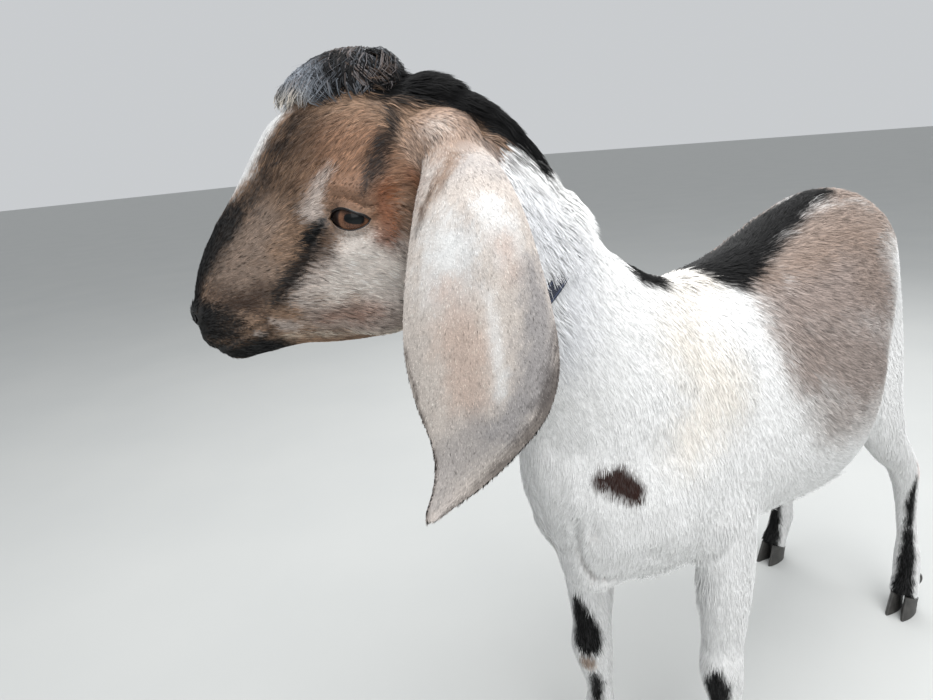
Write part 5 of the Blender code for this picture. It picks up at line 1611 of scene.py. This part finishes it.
def claw(foot, side, outer):
    """One claw: a flat worn sole, a pointed toe, faint growth rings and a rolled coronet."""
    outer *= side
    rings = []
    for number, height in enumerate(CLAW_LEVELS):
        ring = []
        rolled = 1.0 + (0.035 if height > 0.9 else 0.0) + 0.012 * math.sin(number * 2.2)
        for t in ring_angles(CLAW_POINTS):
            ahead = math.cos(t)
            across = math.sin(t) * (1 - 0.22 * ahead - 0.16 * ahead * ahead)
            x = (HOOF_TOE / 2) * (1 - 0.26 * height) * ahead * rolled + 4 - 8.5 * height
            y = CLAW_WIDTH / 2 * (1 - 0.05 * height) * across * rolled
            if y * outer < 0:
                y *= 0.80
            y += outer * (CLAW_SPREAD - 0.8 + 1.4 * (1 - height) * max(ahead, 0))
            z = (CORONET - 0.3 + CORONET_SLOPE * x) * height
            inset = 0.7 if number == 0 else 0.0
            ring.append(Vector((foot[0] + x - inset * ahead, foot[1] + y - inset * math.sin(t), z)) * MM)
        rings.append(ring)
    thing = loft('claw', rings)
    pick(thing)
    bpy.ops.object.shade_smooth_by_angle(angle=math.radians(50))
    return thing


def collar_strap():
    """The strap with rolled edges. For its stitches it knows how far each point lies from its middle line."""
    thing = copy_of('collar')
    thing.name = 'collar_strap'
    edge = thing.modifiers.new('edge', 'BEVEL')
    edge.width = 0.00045
    edge.segments = 2
    edge.limit_method = 'ANGLE'
    round_off = thing.modifiers.new('round', 'SUBSURF')
    round_off.levels = 2
    finish_modifiers(thing)
    middle, axis = collar_band()
    spot = points_of(thing)
    store_number(thing, 'strap', ((spot - middle) @ axis) / MM)
    smooth(thing)
    return thing


def hooves():
    """Four pairs of claws, with a pair of small dewclaws behind each foot."""
    made = []
    for node, foot in FEET.items():
        side = 1 if foot[1] > 0 else -1
        high = FORE_DEW if node in FORELEGS else HIND_DEW
        for outer in SIDES:
            made.append(claw(foot, side, outer))
            bpy.ops.mesh.primitive_uv_sphere_add(segments=20, ring_count=12, radius=1)
            dew = bpy.context.object
            place = Vector((foot[0] - 25, foot[1] + 9.5 * outer, high)) * MM
            dew.data.transform(Matrix.Translation(place) @ Matrix.Rotation(-0.5, 4, 'Y')
                               @ Matrix.Diagonal(DEW_SIZE))
            smooth(dew)
            made.append(dew)
    return joined('hooves', made)


# ---------------------------------------------------------------- materials
def material(name):
    made = bpy.data.materials.new(name)
    made.use_nodes = True
    return made, made.node_tree, made.node_tree.nodes['Principled BSDF']


def connect(tree, node, values=None, links=None):
    """Give a node its socket values and incoming links."""
    for key, value in (values or {}).items():
        node.inputs[key].default_value = value
    for key, source in (links or {}).items():
        tree.links.new(source, node.inputs[key])
    return node


def add_node(tree, kind, settings=None, values=None, links=None):
    """One node with its settings, socket values and incoming links."""
    node = tree.nodes.new(kind)
    for key, value in (settings or {}).items():
        setattr(node, key, value)
    return connect(tree, node, values, links)


def hair_material():
    """Goat hair: thin, slightly glossy fibres whose colour comes from the coat's own markings."""
    made, tree, shader = material('goat_hair')
    coat = add_node(tree, 'ShaderNodeAttribute', {'attribute_name': 'Coat'})
    connect(tree, shader, {'Roughness': 0.58, 'Specular IOR Level': 0.12},
            {'Base Color': coat.outputs['Color']})
    return made


def skin_material():
    """Skin under short hair: the coat's colours darkened by a fine nap as painted shade under the hair, and
    moist leather where it is bare.
    """
    made, tree, shader = material('goat_skin')
    place = add_node(tree, 'ShaderNodeTexCoord').outputs['Object']
    coat = add_node(tree, 'ShaderNodeAttribute', {'attribute_name': 'Coat'})
    bare = add_node(tree, 'ShaderNodeAttribute', {'attribute_name': 'Bare'})
    nap = add_node(tree, 'ShaderNodeTexNoise', None, {'Scale': 900.0, 'Detail': 3.0}, {'Vector': place})
    pebble = add_node(tree, 'ShaderNodeTexVoronoi', None, {'Scale': 1100.0}, {'Vector': place})
    relief = add_node(tree, 'ShaderNodeMix', None, None,
                      {0: bare.outputs['Fac'], 2: nap.outputs['Fac'], 3: pebble.outputs['Distance']})
    # The nap scales the coat's colours to 0.62-0.92 of them: painted shade of skin that lies under the hair,
    # uneven with the nap.
    shade = add_node(tree, 'ShaderNodeMapRange', None, {'To Min': 0.62, 'To Max': 0.92},
                     {'Value': nap.outputs['Fac']})
    tone = add_node(tree, 'ShaderNodeMix', {'data_type': 'RGBA', 'blend_type': 'MULTIPLY'}, {0: 1.0},
                    {6: coat.outputs['Color'], 7: shade.outputs[0]})
    gloss = add_node(tree, 'ShaderNodeMapRange', None, {'To Min': 0.8, 'To Max': 0.36},
                     {'Value': bare.outputs['Fac']})
    bump = add_node(tree, 'ShaderNodeBump', None, {'Strength': 0.35, 'Distance': 0.0006},
                    {'Height': relief.outputs[0]})
    connect(tree, shader, None, {'Base Color': tone.outputs[2], 'Roughness': gloss.outputs[0],
                                 'Normal': bump.outputs[0]})
    return made


def eye_material():
    """A goat's eye: copper iris with fine spokes, a dark rim, a level slot of a pupil with a faint blue-green
    painted reflection, a painted shadow of the upper lid over its top, and a wet film.
    """
    made, tree, shader = material('goat_eye')
    across, above = (add_node(tree, 'ShaderNodeAttribute', {'attribute_name': name}).outputs['Fac']
                     for name in ('across', 'above'))
    flat = add_node(tree, 'ShaderNodeCombineXYZ', None, None, {0: across, 1: above}).outputs[0]
    out = add_node(tree, 'ShaderNodeVectorMath', {'operation': 'LENGTH'}, None, {0: flat}).outputs['Value']
    turn = add_node(tree, 'ShaderNodeMath', {'operation': 'ARCTAN2'}, None, {0: above, 1: across}).outputs[0]
    round_iris = add_node(tree, 'ShaderNodeCombineXYZ', None, None, {0: turn, 1: out}).outputs[0]
    drawn_out = add_node(tree, 'ShaderNodeVectorMath', {'operation': 'MULTIPLY'}, {1: (7.0, 0.35, 1.0)},
                         {0: round_iris}).outputs[0]
    spokes = add_node(tree, 'ShaderNodeTexNoise', None, {'Scale': 2.4, 'Detail': 5.0},
                      {'Vector': drawn_out}).outputs[0]
    ways = []
    for value, half, power in ((across, 6.4, 3.2), (above, 3.1, 2.6)):
        for operation, number in (('DIVIDE', half), ('ABSOLUTE', 0.0), ('POWER', power)):
            value = add_node(tree, 'ShaderNodeMath', {'operation': operation}, {1: number},
                             {0: value}).outputs[0]
        ways.append(value)
    slot = add_node(tree, 'ShaderNodeMath', {'operation': 'ADD'}, None, {0: ways[0], 1: ways[1]}).outputs[0]
    ground = add_node(tree, 'ShaderNodeRGB')
    ground.outputs[0].default_value = (*colour('#33211b'), 1)
    tone = ground.outputs[0]
    # The pupil's blue-green tint is a painted reflection over black; the last row darkens the upper part of
    # the eye as a painted shadow of the upper lid.
    for value, low, high, start, end, code in (
            (spokes, 0.35, 0.68, 0.0, 1.0, '#73503d'), (out, 5.5, 9.2, 0.0, 0.45, '#93694f'),
            (out, 8.9, 10.4, 0.0, 1.0, '#1d1310'), (out, 10.6, 12.0, 0.0, 1.0, '#120d0c'),
            (slot, 0.82, 1.25, 1.0, 0.0, '#05090b'), (above, 0.4, 4.2, 0.0, 0.72, '#060404')):
        share = add_node(tree, 'ShaderNodeMapRange', {'interpolation_type': 'SMOOTHSTEP'},
                         {'From Min': low, 'From Max': high, 'To Min': start, 'To Max': end},
                         {'Value': value}).outputs[0]
        tone = add_node(tree, 'ShaderNodeMix', {'data_type': 'RGBA'}, {7: (*colour(code), 1)},
                        {0: share, 6: tone}).outputs[2]
    connect(tree, shader, {'Roughness': 0.4, 'Specular IOR Level': 0.1, 'Coat Weight': 0.28,
                           'Coat Roughness': 0.02}, {'Base Color': tone})
    return made


def lid_material():
    """Dark moist hide along the lids."""
    made, tree, shader = material('lid_hide')
    place = add_node(tree, 'ShaderNodeTexCoord').outputs['Object']
    grain = add_node(tree, 'ShaderNodeTexNoise', None, {'Scale': 1400.0, 'Detail': 2.0}, {'Vector': place})
    tone = add_node(tree, 'ShaderNodeMix', {'data_type': 'RGBA'},
                    {6: (*colour('#070505'), 1), 7: (*colour('#191211'), 1)}, {0: grain.outputs[0]})
    bump = add_node(tree, 'ShaderNodeBump', None, {'Strength': 0.3, 'Distance': 0.0003},
                    {'Height': grain.outputs[0]})
    connect(tree, shader, {'Roughness': 0.3}, {'Base Color': tone.outputs[2], 'Normal': bump.outputs[0]})
    return made


def hoof_material():
    """Dark horn with faint growth bands, patched with dust."""
    made, tree, shader = material('hoof_horn')
    place = add_node(tree, 'ShaderNodeTexCoord').outputs['Object']
    bands = add_node(tree, 'ShaderNodeTexWave', {'bands_direction': 'Z'},
                     {'Scale': 95.0, 'Distortion': 2.5, 'Detail': 2.0}, {'Vector': place})
    dirt = add_node(tree, 'ShaderNodeTexNoise', None, {'Scale': 120.0, 'Detail': 4.0}, {'Vector': place})
    tone = add_node(tree, 'ShaderNodeMix', {'data_type': 'RGBA'},
                    {6: (*colour('#1b1c1c'), 1), 7: (*colour('#4c4a47'), 1)}, {0: dirt.outputs[0]})
    height = add_node(tree, 'ShaderNodeMath', {'operation': 'ADD'}, None,
                      {0: bands.outputs['Fac'], 1: dirt.outputs[0]})
    bump = add_node(tree, 'ShaderNodeBump', None, {'Strength': 0.4, 'Distance': 0.0004},
                    {'Height': height.outputs[0]})
    connect(tree, shader, {'Roughness': 0.48}, {'Base Color': tone.outputs[2], 'Normal': bump.outputs[0]})
    return made


def collar_material():
    """Dark blue woven nylon with two lines of stitches."""
    made, tree, shader = material('collar_nylon')
    place = add_node(tree, 'ShaderNodeTexCoord').outputs['Object']
    over = add_node(tree, 'ShaderNodeTexWave', {'bands_direction': 'DIAGONAL'},
                    {'Scale': 340.0, 'Distortion': 0.4}, {'Vector': place})
    under = add_node(tree, 'ShaderNodeTexWave', {'bands_direction': 'Z'},
                     {'Scale': 420.0, 'Distortion': 0.4}, {'Vector': place})
    weave = add_node(tree, 'ShaderNodeMath', {'operation': 'MULTIPLY'}, None,
                     {0: over.outputs['Fac'], 1: under.outputs['Fac']})
    tone = add_node(tree, 'ShaderNodeMix', {'data_type': 'RGBA'},
                    {6: (*colour('#0c1120'), 1), 7: (*colour('#252f49'), 1)}, {0: weave.outputs[0]})
    across = add_node(tree, 'ShaderNodeAttribute', {'attribute_name': 'strap'})
    gap = add_node(tree, 'ShaderNodeMath', {'operation': 'ABSOLUTE'}, None, {0: across.outputs['Fac']})
    line = add_node(tree, 'ShaderNodeMath', {'operation': 'COMPARE'}, {1: 4.3, 2: 0.35}, {0: gap.outputs[0]})
    sewn = add_node(tree, 'ShaderNodeMix', {'data_type': 'RGBA'}, {7: (*colour('#3a4560'), 1)},
                    {0: line.outputs[0], 6: tone.outputs[2]})
    bump = add_node(tree, 'ShaderNodeBump', None, {'Strength': 0.6, 'Distance': 0.0004},
                    {'Height': weave.outputs[0]})
    connect(tree, shader, {'Roughness': 0.55}, {'Base Color': sewn.outputs[2], 'Normal': bump.outputs[0]})
    return made


def dress(thing, made):
    thing.data.materials.clear()
    thing.data.materials.append(made)
    return thing


# ---------------------------------------------------------------- room
SENSOR = 36                                      # mm
LENS = 708 / 933 * SENSOR                        # 708 pixels in a frame 933 wide
CAMERA = Vector((0.673, 0.39, 0.689))
LOOK_DOWN, LOOK_TILT, LOOK_TURN = math.radians(15.8), math.radians(-5.2), math.radians(231.6)
LAMP_AIM = Vector((0, 0, 0.4))
LAMPS = (('sky_light', (0.0, 0.7, 2.4), 2.2, 74), ('side_light', (1.0, 1.8, 1.2), 1.4, 13),
         ('back_light', (-1.3, -0.9, 1.7), 1.6, 18))    # name, place, size and power in watts


def camera_and_light():
    scene = bpy.context.scene
    lens = bpy.data.cameras.new('camera')
    lens.sensor_width = SENSOR
    lens.lens = LENS
    lens.clip_start = 0.01
    camera = bpy.data.objects.new('camera', lens)
    scene.collection.objects.link(camera)
    ahead = Vector((math.cos(LOOK_TURN) * math.cos(LOOK_DOWN), math.sin(LOOK_TURN) * math.cos(LOOK_DOWN),
                    -math.sin(LOOK_DOWN)))
    level = Vector((math.sin(LOOK_TURN), -math.cos(LOOK_TURN), 0))
    rise = level.cross(ahead)
    right = level * math.cos(LOOK_TILT) + rise * math.sin(LOOK_TILT)
    up = rise * math.cos(LOOK_TILT) - level * math.sin(LOOK_TILT)
    place = CAMERA - CENTRE
    camera.matrix_world = Matrix((
        (right.x, up.x, -ahead.x, place.x), (right.y, up.y, -ahead.y, place.y),
        (right.z, up.z, -ahead.z, place.z), (0, 0, 0, 1)))
    scene.camera = camera
    scene.view_settings.view_transform = 'Standard'
    scene.view_settings.look = 'None'
    for name, spot, size, power in LAMPS:
        lamp = bpy.data.lights.new(name, 'AREA')
        lamp.energy = power
        lamp.size = size
        thing = bpy.data.objects.new(name, lamp)
        thing.location = spot
        thing.rotation_euler = (LAMP_AIM - thing.location).to_track_quat('-Z', 'Y').to_euler()
        scene.collection.objects.link(thing)
    world = bpy.data.worlds.new('room')
    world.use_nodes = True
    background = world.node_tree.nodes['Background']
    background.inputs['Color'].default_value = (*colour('#e9ecef'), 1)
    background.inputs['Strength'].default_value = 0.72
    scene.world = world


def floor():
    bpy.ops.object.select_all(action='DESELECT')
    bpy.ops.mesh.primitive_plane_add(size=60)
    thing = bpy.context.object
    thing.name = 'floor'
    made, tree, shader = material('pale_floor')
    place = add_node(tree, 'ShaderNodeTexCoord').outputs['Object']
    grain = add_node(tree, 'ShaderNodeTexNoise', None, {'Scale': 3.0, 'Detail': 4.0}, {'Vector': place})
    tint = add_node(tree, 'ShaderNodeMix', {'data_type': 'RGBA'},
                    {6: (*colour('#b3b5b4'), 1), 7: (*colour('#bcbdbb'), 1)}, {0: grain.outputs['Fac']})
    connect(tree, shader, {'Roughness': 0.85}, {'Base Color': tint.outputs[2]})
    dress(thing, made)


def settle(piece, look, slot, *nodes):
    """Dress a piece, let it ride on the body, and hide the nodes that it stands for. Its slot is not used."""
    dress(piece, look)
    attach(piece, 'root')
    if nodes:
        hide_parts(*nodes)


SLOTS = {'coat_face_left': 'tan_coat', 'coat_face_right': 'tan_coat', 'coat_ear_left': 'ear_coat',
         'coat_ear_right': 'ear_coat', 'coat_flank_left': 'taupe_coat', 'coat_flank_right': 'taupe_coat',
         'topknot': 'black_coat', 'crest': 'black_coat', 'stripe': 'black_coat', 'tail_hair': 'black_coat',
         'lashes': 'black_coat'}


def make_goat():
    rng = np.random.default_rng(SEED)
    skin = skin_form()
    unwrap(skin)
    fields = skin_fields(skin, rng)
    store_colours(skin.data, fields['colours'])
    store_number(skin, 'Bare', fields['bare'])
    smooth(skin)
    settle(skin, skin_material(), 'white_coat', *NODES)
    hair = hair_material()
    coat = short_coat(skin, fields, rng) + long_hair(skin, fields, rng)
    for piece in coat + [topknot(fields, rng), tail_hair(fields, rng), lashes(fields, rng)]:
        settle(piece, hair, SLOTS.get(piece.name, 'white_coat'))
    eye_look, lid_look = eye_material(), lid_material()
    for side in SIDES:
        settle(eyeball(side), eye_look, 'eye', 'eye_' + side_word(side))
        settle(lid_rim(side), lid_look, 'black_coat')
        settle(tear_corner(side), lid_look, 'black_coat')
    claws = [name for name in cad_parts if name.startswith('claw')]
    settle(hooves(), hoof_material(), 'hoof', *claws)
    settle(collar_strap(), collar_material(), 'collar', 'collar')


make_goat()
camera_and_light()
floor()
